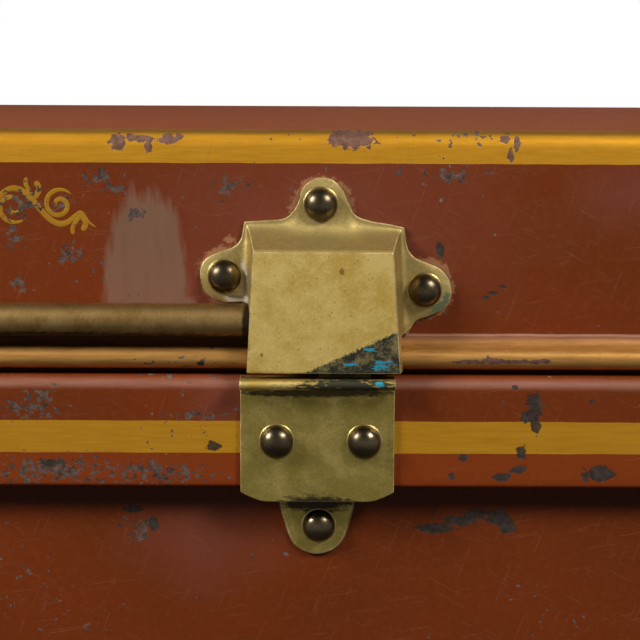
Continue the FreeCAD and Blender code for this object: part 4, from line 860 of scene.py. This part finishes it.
# %% Latch boxes
LATCH_EARS = (
    [(-26.9, 19.3), (-30.6, 20.8), (-33.1, 23.6), (-33.9, 28.2), (-32.4, 31.6), (-28.2, 33.8), (-24.8, 35.0),
     (-22.5, 37.2), (-21.4, 42.3)],
    [(-21.4, 42.3), (-15.0, 42.7), (-9.8, 43.4), (-6.5, 47.1), (-5.3, 51.3), (-2.8, 53.8), (0.2, 54.7), (3.4, 54.1),
     (6.2, 51.3), (7.9, 47.6), (9.8, 44.3), (14.1, 42.6), (19.0, 41.8), (23.6, 40.8)],
    [(23.6, 40.8), (24.6, 35.2), (26.6, 32.4), (30.4, 30.7), (33.6, 29.3), (36.0, 26.8), (37.1, 23.2), (36.6, 19.9),
     (34.4, 17.4), (31.0, 15.8), (27.6, 14.6), (26.1, 12.8), (24.9, 10.6)])
LATCH_ROOT = [(-21.4, BOX_FOOT), (-20.3, ROOT_TOP), (22.3, 39.6), (24.3, BOX_FOOT)]
LATCH_FACE = [(-20.3, BOX_FOOT), (-18.5, FACE_TOP), (20.2, FACE_TOP), (22.6, BOX_FOOT)]
BOX_DEPTH, BOX_NOTCHES = 11.7, ((19.5, 9.9), (10.6, 6.8))
box_grid, box_keep = pressed_box(LATCH_EARS, LATCH_ROOT, LATCH_FACE, BOX_DEPTH, BOX_NOTCHES, BOX_FILLET)
for side, sign in SIDES:
    pressed_piece(f"{side}_latch_box_shell", box_grid, box_keep, LATCH_X, sign, f"{side}_latch_box")
print("latch boxes:", box_grid.shape)

# %% [markdown]
# ## Rivets
# A trunk's fittings are held by round-head rivets hammered from inside: a head a little lower than a half ball,
# seated on a bright ring where polish reaches.  A squashed sphere would lack the seat's edge, so one profile turned
# about each rivet's axis makes them all.

# %% Rivet heads on the front
RIVET_R, RIVET_H, RIVET_SEAT = 4.76, 4.2, 0.25
turn = np.radians(np.linspace(90, 8, 14))
dome = np.stack([RIVET_R * np.cos(turn), RIVET_SEAT + (RIVET_H - RIVET_SEAT) * np.sin(turn)], -1)
rivet_profile = np.concatenate([[(0, RIVET_H)], dome[1:], [(RIVET_R, RIVET_SEAT), (RIVET_R - 0.1, 0.0), (0, 0)]])
ring_profile = [(4.3, 0.0), (5.15, 0.0), (5.1, 0.16), (4.9, 0.3), (4.6, 0.34), (4.3, 0.34), (4.3, 0.0)]


def rivet_heads(name, points, axis, body, node):
    """Turned heads that stand on the points, along an axis."""
    heads = [patch(turned(rivet_profile, point, axis), True) for point in points]
    piece(name, heads, rivet_bronze, body, [node], sharp=50)


def front_rivets(name, places, body, node):
    """Heads at (x, p, z) of the front frame, each on a polished ring."""
    points, outwards = [on_front(*place) for place in places], (0, -1, 0)
    rivet_heads(name, points, outwards, body, node)
    rings = [patch(turned(ring_profile, point, outwards), True) for point in points]
    piece(name + "_seats", rings, seat_brass, body, sharp=60)


BOX_RIVETS = [(0.1, PLATE, 47.2), (-27.0, PLATE, 26.8), (29.6, PLATE, 23.1)]
KEEPER_RIVETS = [(-12.1, COLLAR_OUT + PLATE, -19.3), (12.7, COLLAR_OUT + PLATE, -19.3),
                 (-0.1, PLATE - LID_OUT, -45.5)]
LOCK_EAR = 47.166
LOCK_RIVETS = [(-LOCK_EAR, PLATE, 25.0), (LOCK_EAR, PLATE, 25.0), (0, PLATE, 47.2)]
for side, sign in SIDES:
    for part, fitting, body, places in (("box", "latch_box", "lid", BOX_RIVETS),
                                        ("keeper", "keeper", "trunk_body", KEEPER_RIVETS)):
        front_rivets(f"{side}_{part}_rivet_heads", [(sign * (LATCH_X + x), p, z) for x, p, z in places], body,
                     f"{side}_{fitting}_rivets")
front_rivets("lock_rivet_heads", LOCK_RIVETS, "lid", "lock_case_rivets")
print("rivet heads:", 2 * len(BOX_RIVETS + KEEPER_RIVETS) + len(LOCK_RIVETS))

# %% [markdown]
# ## Bolt rods
# Drawn brass rod, filed flat to a blade where it passes the keeper's hook, with a small chamfer at each end.  The rod
# is a profile turned about its axis, and the blade is a rectangle carried along it.

# %% Bolt rods
ROD_R, ROD_OUT, ROD_LIFT = 4.7625, 5.0625, 14.8
ROD_START, ROD_END, BLADE_END = 19.4226, 212.119, 222.869
BLADE_HALF, BLADE_BACK, BLADE_FRONT = 2.8, 7.0, 9.1
rod_profile = [(0, ROD_START), (ROD_R - 0.5, ROD_START), (ROD_R, ROD_START + 0.5), (ROD_R, ROD_END - 0.8),
               (ROD_R - 0.8, ROD_END), (0, ROD_END)]
corner = np.array([(-1, -1), (1, -1), (1, 1), (-1, 1)], float)
blade_axis = np.array([0.0, (BLADE_BACK + BLADE_FRONT) / 2, ROD_LIFT])
blade = np.stack([np.zeros(4), blade_axis[1] + corner[:, 0] * (BLADE_FRONT - BLADE_BACK) / 2,
                  ROD_LIFT + corner[:, 1] * BLADE_HALF], -1)
blade_rows = np.stack([blade_axis + (blade - blade_axis) * size + np.array([at, 0, 0]) for at, size in (
    (ROD_END - 1, 0), (ROD_END - 1, 1), (BLADE_END - 0.4, 1), (BLADE_END, 0.8), (BLADE_END, 0))])
for side, sign in SIDES:
    rod = turned(rod_profile, on_front(0.0, ROD_OUT, ROD_LIFT), (sign, 0, 0), 48)
    tip = on_front(sign * blade_rows[..., 0], blade_rows[..., 1], blade_rows[..., 2])
    piece(f"{side}_bolt_rod_drawn", [patch(rod, True), patch(tip, wrap_columns=True)], rod_brass,
          f"{side}_bolt", [f"{side}_bolt_rod"])
print("bolt rods:", BLADE_END - ROD_START, "mm long")

# %% [markdown]
# ## Flat plates
# Keeper ears, the keyhole's cover, handle lugs and hinge leaves are all cut from plate, with the front edge filed
# round.  Each could be a flat outline with a Solidify and a Bevel modifier.  Six rows of points do the same in one
# grid: two shrink to the middle to close it, and the others follow the edge.

# %% Plate maker
def slab(outline, low, high, edge):
    """Closed plate of an outline (x, z) between two outward distances, its front edge rounded: rows of (x, z, p)."""
    outline = resampled(np.concatenate([outline, outline[:1]]), 121)[:-1]
    centre = outline.mean(0)
    inset = outline - outline_normals(outline) * edge
    rows = [(centre, low), (outline, low), (outline, high - edge), (outline * 0.3 + inset * 0.7, high - edge * 0.3),
            (inset, high), (centre, high)]
    return np.stack([np.concatenate([np.broadcast_to(points, outline.shape), np.full((len(outline), 1), p)], 1)
                     for points, p in rows])


def seated(rows, place):
    """A slab's rows as a patch, put where place(x, p, z) says."""
    return patch(place(rows[..., 0], rows[..., 2], rows[..., 1]), wrap_columns=True)


def rounded_plate(left, right, foot, top, corner, count=7):
    """Outline of a plate with round corners: four quarter circles, anticlockwise from the right."""
    centres = ((right - corner, top - corner), (left + corner, top - corner), (left + corner, foot + corner),
               (right - corner, foot + corner))
    return np.concatenate([arc(x, z, corner, 90 * k, 90 * k + 90, count) for k, (x, z) in enumerate(centres)])


print("a slab has", slab(rounded_plate(-1, 1, -1, 1, 0.5), 0, 1, 0.1).shape[0], "rows")

# %% [markdown]
# ## Keeper plates
# A keeper is thick brass plate bent to a lip that stops the box, riveted through the collar, with a narrower ear
# set back on the wall.  The plate is one section, front and back in step, carried along x with a clipped foot.

# %% Keeper's plate and lip
KEEPER_HALF, KEEPER_FOOT, KEEPER_CLIP, KEEPER_SHIFT = 21.75, -36.8, -34.0, -0.6
LIP_TOP, LIP_FOOT, LIP_NOSE, LIP_BEND = -1.0, -3.9, 11.6, 0.9
back, front = COLLAR_OUT, COLLAR_OUT + PLATE
nose_r, nose_z = (LIP_TOP - LIP_FOOT) / 2, (LIP_TOP + LIP_FOOT) / 2
lip_front = np.concatenate([
    bend((front, LIP_FOOT - LIP_BEND), (front, LIP_FOOT), (front + LIP_BEND, LIP_FOOT), 8),
    arc(LIP_NOSE, nose_z, nose_r, -90, 0, 8)])
lip_back = np.concatenate([
    arc(COLLAR_OUT - SHOULDER_R, -SHOULDER_R, SHOULDER_R + 0.03, 0, 46, 7), [(5.2, LIP_TOP)],
    arc(LIP_NOSE, nose_z, nose_r, 90, 0, 8)])
across = np.concatenate([[-1, -0.985], np.linspace(-0.95, 0.95, 39), [0.985, 1]]) * KEEPER_HALF
foot_z = np.interp(np.abs(across), [14.5, 16.5, 20.2, KEEPER_HALF],
                   [KEEPER_FOOT, KEEPER_FOOT + 0.35, KEEPER_CLIP - 0.9, KEEPER_CLIP])
rise = np.array([0.0, 0.012, 0.03, 0.3, 0.6])[:, None]
columns = []
for z in foot_z:
    foot_front, foot_back = np.array([(front, z)]), np.array([(back, z)])
    outer = np.concatenate([foot_front + (lip_front[0] - foot_front) * rise, lip_front])
    inner = np.concatenate([foot_back + (lip_back[0] - foot_back) * rise, lip_back])
    between = (outer + inner) / 2
    columns.append((np.concatenate([outer, inner[::-1]]), np.concatenate([between, between[::-1]])))
loops = np.stack([columns[0][1]] + [loop for loop, _ in columns] + [columns[-1][1]])
stations = np.concatenate([across[:1], across, across[-1:]])[:, None]
print("keeper's plate:", loops.shape)

# %% [markdown]
# The ear is a tongue of the same plate, joined to it behind the foot by a short web.

# %% Keepers
EAR_TOP, EAR_Z, EAR_R, EAR_HALF = -33.4, -45.5, 8.8, 11.2
ear_arc = arc(0.0, EAR_Z, EAR_R, 195, 345, 25)
ear_side = np.array([(EAR_HALF, EAR_TOP), (EAR_HALF - 0.1, -37.5), (EAR_HALF - 0.9, -42.0), ear_arc[-1]])
ear_side = smooth_through(ear_side, 20)[:-1]
ear_outline = np.concatenate([ear_side * (-1, 1), ear_arc, ear_side[::-1]])
ear_rows = slab(ear_outline, -LID_OUT, PLATE - LID_OUT, 0.4)
web = np.array([(-EAR_HALF, EAR_TOP - PLATE), (EAR_HALF, EAR_TOP - PLATE), (EAR_HALF, EAR_TOP), (-EAR_HALF, EAR_TOP)])
web_rows = slab(web, -LID_OUT, front - 0.2, 0.1)
for side, sign in SIDES:
    middle = sign * (LATCH_X + KEEPER_SHIFT)
    bodies = [patch(on_front(middle + stations, loops[..., 0], loops[..., 1]), wrap_columns=True)]
    bodies += [seated(rows, lambda x, p, z: on_front(middle + x, p, z)) for rows in (ear_rows, web_rows)]
    piece(f"{side}_keeper", bodies, keeper_brass, "trunk_body", [f"{side}_keeper_plate"], bevel=0.22,
          rubbed=edge_brass)
print("keepers:", len(SIDES), "of", len(bodies), "plates")

# %% [markdown]
# ## Lock
# The lock's cover is pressed like the latch boxes, wider, with the barrel's face showing through it.  A drop of
# plate hangs on a pin over the keyhole and swings aside for the key.

# %% Lock case, keyhole cover and its pin
CASE_HALF, CASE_FACE, CASE_DEPTH, CASE_NOTCH = 41.166, 38.166, 12.6, (20.0, 10.2)
case_side = [(-43.0, 20.0), (-47.0, 19.9), (-51.2, 20.6), (-53.9, 22.8), (-54.3, 26.0), (-52.8, 29.6), (-49.4, 32.0),
             (-45.6, 33.8), (-43.2, 36.6), (-42.3, 42.3)]
case_crown = [(-42.3, 42.3), (-30.0, 42.3), (-18.0, 42.4), (-11.0, 43.3), (-7.4, 46.4), (-5.8, 50.7), (-3.2, 53.5),
              (0.0, 54.5)]
case_crown += [(-x, z) for x, z in case_crown[-2::-1]]
case_root, case_face = ([(-half, BOX_FOOT), (-half, top), (half, top), (half, BOX_FOOT)]
                        for half, top in ((CASE_HALF, ROOT_TOP), (CASE_FACE, FACE_TOP)))
case_ears = (case_side, case_crown, [(-x, z) for x, z in case_side[::-1]])
case_grid, case_keep = pressed_box(case_ears, case_root, case_face, CASE_DEPTH, (CASE_NOTCH, CASE_NOTCH), BOX_FILLET,
                                   (14, 44, 120))
pressed_piece("lock_case_shell", case_grid, case_keep, 0.0, 1, "lock_case")

PIVOT_Z, COVER_R, COVER_TOP_R, COVER_BACK, COVER_FRONT = 25.2, 6.6, 4.0, 13.8, 15.0
lean = np.degrees(np.arcsin((COVER_R - COVER_TOP_R) / (PIVOT_Z - ROD_LIFT)))
cover_outline = np.concatenate([arc(0, ROD_LIFT, COVER_R, 180 - lean, 360 + lean, 33),
                                arc(0, PIVOT_Z, COVER_TOP_R, lean, 180 - lean, 21)])
cover = seated(slab(cover_outline, COVER_BACK, COVER_FRONT, 0.4), on_front)
piece("keyhole_cover_drop", [cover], pressed_brass, "cover", ["keyhole_cover"])
pin_profile = [(0, 1.6), (1.2, 1.5), (2.2, 1.05), (2.75, 0.35), (2.8, 0.0), (0, 0)]
pin = turned(pin_profile, on_front(0, COVER_FRONT + 0.05, PIVOT_Z), (0, -1, 0))
piece("keyhole_cover_pin_head", [patch(pin, True)], rivet_bronze, "lid", ["keyhole_cover_pin"])
print("lock case:", case_grid.shape)

# %% [markdown]
# ## Handles
# A drop handle is one bent rod with a swelled grip between two turned beads.  A bevelled curve can't swell along its
# run as simply, so circles of a changing radius are set across the bent line.

# %% Handle rod
HANDLE_OUT, HANDLE_LIFT, HANDLE_DROP, HANDLE_R, ARM_Y, STUB = 10.0, 160.0, 46.0, 4.0, 52.0, 15
GRIP_HALF, GRIP_SWELL, BEAD_AT, BEAD_WIDE = 34.0, 2.4, 35.4, 1.1


def rounded_run(corners, radii, count=12):
    """Corners joined by straight runs and quarter circles: centre = corner + (back + ahead) * radius."""
    corners = np.asarray(corners, float)
    turn = np.radians(np.linspace(0, 90, count))[:, None]
    runs = [corners[:1]]
    for before, here, after, radius in zip(corners, corners[1:], corners[2:], radii):
        back, ahead = ((end - here) / np.linalg.norm(end - here) for end in (before, after))
        runs.append(here + radius * (back + ahead - ahead * np.cos(turn) - back * np.sin(turn)))
    return np.concatenate(runs + [corners[-1:]])


low = HANDLE_LIFT - HANDLE_DROP
bail = [(-ARM_Y - STUB, HANDLE_LIFT), (-ARM_Y, HANDLE_LIFT), (-ARM_Y, low), (ARM_Y, low), (ARM_Y, HANDLE_LIFT),
        (ARM_Y + STUB, HANDLE_LIFT)]
bail = resampled(rounded_run(bail, [6, 14, 14, 6]), 300)
bail_side = outline_normals(bail, False)
along = np.abs(bail[:, 0]) * np.where(bail[:, 1] < low + 1, 1.0, 9.0)
swell = GRIP_SWELL * np.clip(1 - (along / GRIP_HALF) ** 2, 0, 1)
thick = HANDLE_R + swell + np.exp(-((along - BEAD_AT) / BEAD_WIDE) ** 2)
thick[[0, -1]] = 0.0
bail, bail_side, thick = (np.concatenate([run[:1], run[:1], run[1:-1], run[-1:], run[-1:]])
                          for run in (bail, bail_side, thick))
thick[[1, -2]] = HANDLE_R
ring = np.linspace(0, 2 * np.pi, 28, endpoint=False)
bail_points = bail[:, None] + bail_side[:, None] * (thick[:, None] * np.sin(ring))[..., None]
bail_out = HANDLE_OUT + thick[:, None] * np.cos(ring)
print("handle rod:", bail_points.shape)

# %% [markdown]
# Its stubs turn in bored lugs that are riveted to the end walls, so it hangs flat and lifts square to the wall.  A
# lug is a plate, a short stem and a turned eye.

# %% Drop handles and their lugs
LUG_Y, LUG_PLATE, LUG_RIVET = 62.4, 2.0, 16


def on_end(sign, y, out, z):
    """Points on an end wall: X = half length + out on that side."""
    y, out, z = np.broadcast_arrays(y, out, z)
    return np.stack([sign * (HALF_LENGTH + out), y, z], -1)


lug_rows = slab(rounded_plate(-15.0, 15.0, -24.0, 24.0, 7.5, 9), 0.0, LUG_PLATE, 0.5)
stem_rows = slab(np.array([(-3.9, -6.0), (3.9, -6.0), (3.9, 6.0), (-3.9, 6.0)]), 1.8, 5.5, 0.1)
eye_profile = [(4.15, -3.9), (5.9, -3.9), (6.4, -3.7), (6.6, -3.2), (6.6, 3.2), (6.4, 3.7), (5.9, 3.9), (4.15, 3.9)]
for side, sign in SIDES:
    rod = on_end(sign, bail_points[..., 0], bail_out, bail_points[..., 1])
    piece(f"{side}_handle_rod", [patch(rod, wrap_columns=True)], handle_brass, f"{side}_handle",
          [f"{side}_handle_bail"])
    for end, y in (("front", -LUG_Y), ("rear", LUG_Y)):
        bodies = [seated(rows, lambda x, p, z: on_end(sign, y + x, p, HANDLE_LIFT + z))
                  for rows in (lug_rows, stem_rows)]
        bodies.append(patch(turned(eye_profile, on_end(sign, y, HANDLE_OUT, HANDLE_LIFT), (0, 1, 0)), True, True))
        piece(f"{side}_{end}_lug", bodies, handle_brass, "trunk_body", [f"{side}_handle_{end}_lug"])
    points = [on_end(sign, y, LUG_PLATE, HANDLE_LIFT + rise)
              for y in (-LUG_Y, LUG_Y) for rise in (-LUG_RIVET, LUG_RIVET)]
    rivet_heads(f"{side}_handle_rivet_heads", points, (sign, 0, 0), "trunk_body", f"{side}_handle_rivets")
print("handles: 2, lugs: 4")

# %% [markdown]
# ## Hinges
# A butt hinge of three knuckles on each side of the back.  The lid's leaf is bent to a swan neck, so that its knuckle
# comes out over the collar to the pin.  Leaves are plates, knuckles are turned, and the neck is a section along x.

# %% Hinge leaves, knuckles and rivets
HINGE_X, HINGE_OUT, HINGE_HALF = HALF_LENGTH - 141.0, COLLAR_OUT + 5.95, 30
LEAF, LEAF_CORNER, KNUCKLE_R, BORE_R, KNUCKLE_END = 1.6, 4.0, 4.75, 2.3, 10.3


def on_back(x, p, z):
    """The front frame's distances, at the back: Y = face + p."""
    return on_front(x, p, z) * (1, -1, 1)


def knuckle(x, start, end):
    """Rolled eye about the hinge's axis, from start to end beside x: a chamfered tube's section, turned."""
    eye = [(BORE_R, start), (4.4, start), (KNUCKLE_R, start + 0.4), (KNUCKLE_R, end - 0.4), (4.4, end), (BORE_R, end)]
    return patch(turned(eye, on_back(x, HINGE_OUT, 0.0), (1, 0, 0)), True, True)


def leaf(x, left, right, foot, top, out, corner):
    """Plate with rounded corners beside x, between two heights, its back at the distance out."""
    rows = slab(rounded_plate(left, right, foot, top, corner), out, out + LEAF, 0.4)
    return seated(rows, lambda across, p, z: on_back(x + across, p, z))


neck = np.array([(0.2, 14.5), (4.5, 9.6), (7.5, 5.0), (7.6, 0.5), (12.25, 0.5), (12.2, 5.0), (8.0, 10.5), (1.6, 17.0),
                 (0.2, 17.0)])
neck_end = np.broadcast_to(neck.mean(0), neck.shape)
neck_rows = np.stack([neck_end, neck, neck, neck_end])
neck_x = np.array([-9.7, -9.7, 9.7, 9.7])[:, None]
for side, sign in SIDES:
    x = sign * HINGE_X
    body_leaf = [leaf(x, -HINGE_HALF, HINGE_HALF, -29, -6, COLLAR_OUT, LEAF_CORNER),
                 leaf(x, KNUCKLE_END, HINGE_HALF, -8, 1, COLLAR_OUT, 0.6),
                 leaf(x, -HINGE_HALF, -KNUCKLE_END, -8, 1, COLLAR_OUT, 0.6),
                 knuckle(x, KNUCKLE_END, HINGE_HALF), knuckle(x, -HINGE_HALF, -KNUCKLE_END)]
    piece(f"{side}_hinge_lower", body_leaf, handle_brass, "trunk_body", [f"{side}_hinge_body_leaf"])
    lid_leaf = [leaf(x, -HINGE_HALF, HINGE_HALF, 14.5, 48, 0.0, LEAF_CORNER), knuckle(x, -10, 10),
                patch(on_back(x + neck_x, neck_rows[..., 0], neck_rows[..., 1]), wrap_columns=True)]
    piece(f"{side}_hinge_upper", lid_leaf, handle_brass, "lid", [f"{side}_hinge_lid_leaf"], bevel=0.3)
    for part, body, p, z in (("body", "trunk_body", COLLAR_OUT + LEAF, -18.0), ("lid", "lid", LEAF, 33.0)):
        points = [on_back(x + away, p, z) for away in (-20, 20)]
        rivet_heads(f"{side}_hinge_{part}_heads", points, (0, 1, 0), body, f"{side}_hinge_{part}_rivets")
print("hinges:", len(SIDES))

# %% [markdown]
# ## Studio
# A catalogue picture is taken on a roll of pale paper.  The floor is matt and takes the trunk's shadow; further out
# it fades to the even white of the paper behind, so that no horizon shows from any side.  It sends no light up, as if
# the trunk stood on black cloth, because light from below would wash out the dark lines under the lips.

# %% Floor
scene = bpy.context.scene
scene.view_settings.view_transform = "Standard"
FLOOR_HALF, SHADOW_END, PAPER_START, PAPER_END = 6, 0.8, 1.6, 5.0  # metres from the trunk's middle


def backdrop():
    """Square floor: grey and lit near the trunk, then no colour of its own and white to the lens further out."""
    material = bpy.data.materials.new("pale_floor")
    material.use_nodes = True
    tree, shader = material.node_tree, material.node_tree.nodes["Principled BSDF"]
    away = add(tree, "VectorMath", {0: add(tree, "TexCoord", out="Object")}, out="Value", operation="LENGTH")
    far = add(tree, "MapRange", {"Value": away, "From Min": SHADOW_END, "From Max": PAPER_START},
              interpolation_type="SMOOTHSTEP")
    cloth = add(tree, "Mix", {"Factor": far, UNDER: linear("#b9b6b1"), OVER: linear("#000000")}, **COLOURS)
    tree.links.new(cloth, shader.inputs["Base Color"])
    paper = add(tree, "MapRange", {"Value": away, "From Min": PAPER_START, "From Max": PAPER_END, "To Min": 0.88,
                                   "To Max": 1.0})
    glow = add(tree, "MapRange", {"Value": far, "To Min": 0.3, "To Max": paper})
    glow = add(tree, "Math", {0: glow, 1: add(tree, "LightPath", out="Is Camera Ray")}, operation="MULTIPLY")
    tree.links.new(glow, shader.inputs["Emission Strength"])
    shader.inputs["Roughness"].default_value = 0.9
    shader.inputs["Specular IOR Level"].default_value = 0.0
    mesh = bpy.data.meshes.new("floor")
    corners = [(x * FLOOR_HALF, y * FLOOR_HALF, 0) for x, y in ((-1, -1), (1, -1), (1, 1), (-1, 1))]
    mesh.from_pydata(corners, [], [(0, 1, 2, 3)])
    mesh.materials.append(material)
    floor = bpy.data.objects.new("floor", mesh)
    floor.visible_diffuse = floor.visible_glossy = False
    scene.collection.objects.link(floor)


backdrop()
print("floor:", 2 * FLOOR_HALF, "m square")

# %% [markdown]
# Two soft boxes stand in front and above, at each side of the latch, so that each rivet shows two glints.  Three
# fills light the back and the ends, and metal doesn't mirror them, because a third glint would look stray.

# %% Lights
TARGET = np.array([LATCH_X, -(FACE + 5.0), JOINT + 15.0]) * MM
MIDDLE = np.array([0.0, 0.0, 0.16])


def soft_box(name, direction, distance, size, watts, target=TARGET):
    """Square area light looking at the latch from a direction, or at another place as a fill without glints."""
    light = bpy.data.lights.new(name, "AREA")
    light.size, light.energy = size, watts
    lamp = bpy.data.objects.new(name, light)
    direction = np.array(direction) / np.linalg.norm(direction)
    lamp.location = Vector(target + direction * distance)
    lamp.rotation_euler = Vector(-direction).to_track_quat("-Z", "Y").to_euler()
    lamp.visible_glossy = target is TARGET
    scene.collection.objects.link(lamp)


soft_box("left_soft_box", (-0.78, -0.39, 0.52), 1.2, 0.34, 13)
soft_box("right_soft_box", (0.6, -0.5, 0.64), 1.2, 0.34, 10)
soft_box("back_fill", (0.25, 0.95, 0.16), 2.0, 0.6, 30, MIDDLE)
soft_box("left_fill", (-0.95, 0.3, 0.16), 1.6, 0.5, 14, MIDDLE)
soft_box("right_fill", (0.95, 0.3, 0.16), 1.6, 0.5, 14, MIDDLE)
print("lights:", len(bpy.data.lights))

# %% [markdown]
# The room is white to the lens.  Metal mirrors it brightest at the horizon and dim overhead and below, where a studio
# is dark, and matt surfaces get almost nothing from it, so that the soft boxes alone model the shapes.

# %% Room
HORIZON, MIRROR_BRIGHT, MIRROR_DIM, AMBIENT = -0.05, 0.36, 0.07, 0.03
world = bpy.data.worlds.new("studio_white")
scene.world = world
world.use_nodes = True
sky = world.node_tree
rays = sky.nodes.new("ShaderNodeLightPath")
up = add(sky, "SeparateXYZ", {0: add(sky, "TexCoord", out="Generated")}, out="Z")
up = add(sky, "Math", {0: add(sky, "Math", {0: up, 1: HORIZON}, operation="SUBTRACT")}, operation="ABSOLUTE")
mirrored = add(sky, "MapRange", {"Value": up, "From Max": 0.6, "To Min": MIRROR_BRIGHT, "To Max": MIRROR_DIM})
mirrored = add(sky, "Math", {0: rays.outputs["Is Glossy Ray"], 1: mirrored}, operation="MULTIPLY")
seen = add(sky, "Math", {0: rays.outputs["Is Camera Ray"], 1: rays.outputs["Is Transmission Ray"]},
           operation="MAXIMUM")
seen = add(sky, "Math", {0: seen, 1: mirrored}, operation="MAXIMUM")
level = add(sky, "Math", {0: seen, 1: AMBIENT}, operation="MAXIMUM")
sky.links.new(level, sky.nodes["Background"].inputs["Strength"])
sky.nodes["Background"].inputs["Color"].default_value = (1.0, 1.0, 1.0, 1.0)
print("room: mirrored at", MIRROR_BRIGHT, "by the horizon,", MIRROR_DIM, "overhead")

# %% [markdown]
# The camera stands half a metre from the right latch, a little above it, with a long lens that keeps the lines nearly
# parallel.  It is rolled by a quarter of a degree, as a camera in the hand is.

# %% Camera
ELEVATION, DISTANCE, ROLL = np.radians(7.75), 0.5, np.radians(0.25)
lens = bpy.data.cameras.new("camera")
lens.lens, lens.sensor_width, lens.clip_start = 100.0, 36.0, 0.01
camera = bpy.data.objects.new("camera", lens)
scene.collection.objects.link(camera)
away = np.array([0.0, -np.cos(ELEVATION), np.sin(ELEVATION)])
spin = Vector(-away).to_track_quat("-Z", "Y").to_matrix() @ Matrix.Rotation(ROLL, 3, "Z")
camera.matrix_world = Matrix.Translation(Vector(TARGET + away * DISTANCE)) @ spin.to_4x4()
scene.camera = camera
print("camera:", lens.lens, "mm lens at", DISTANCE, "m")
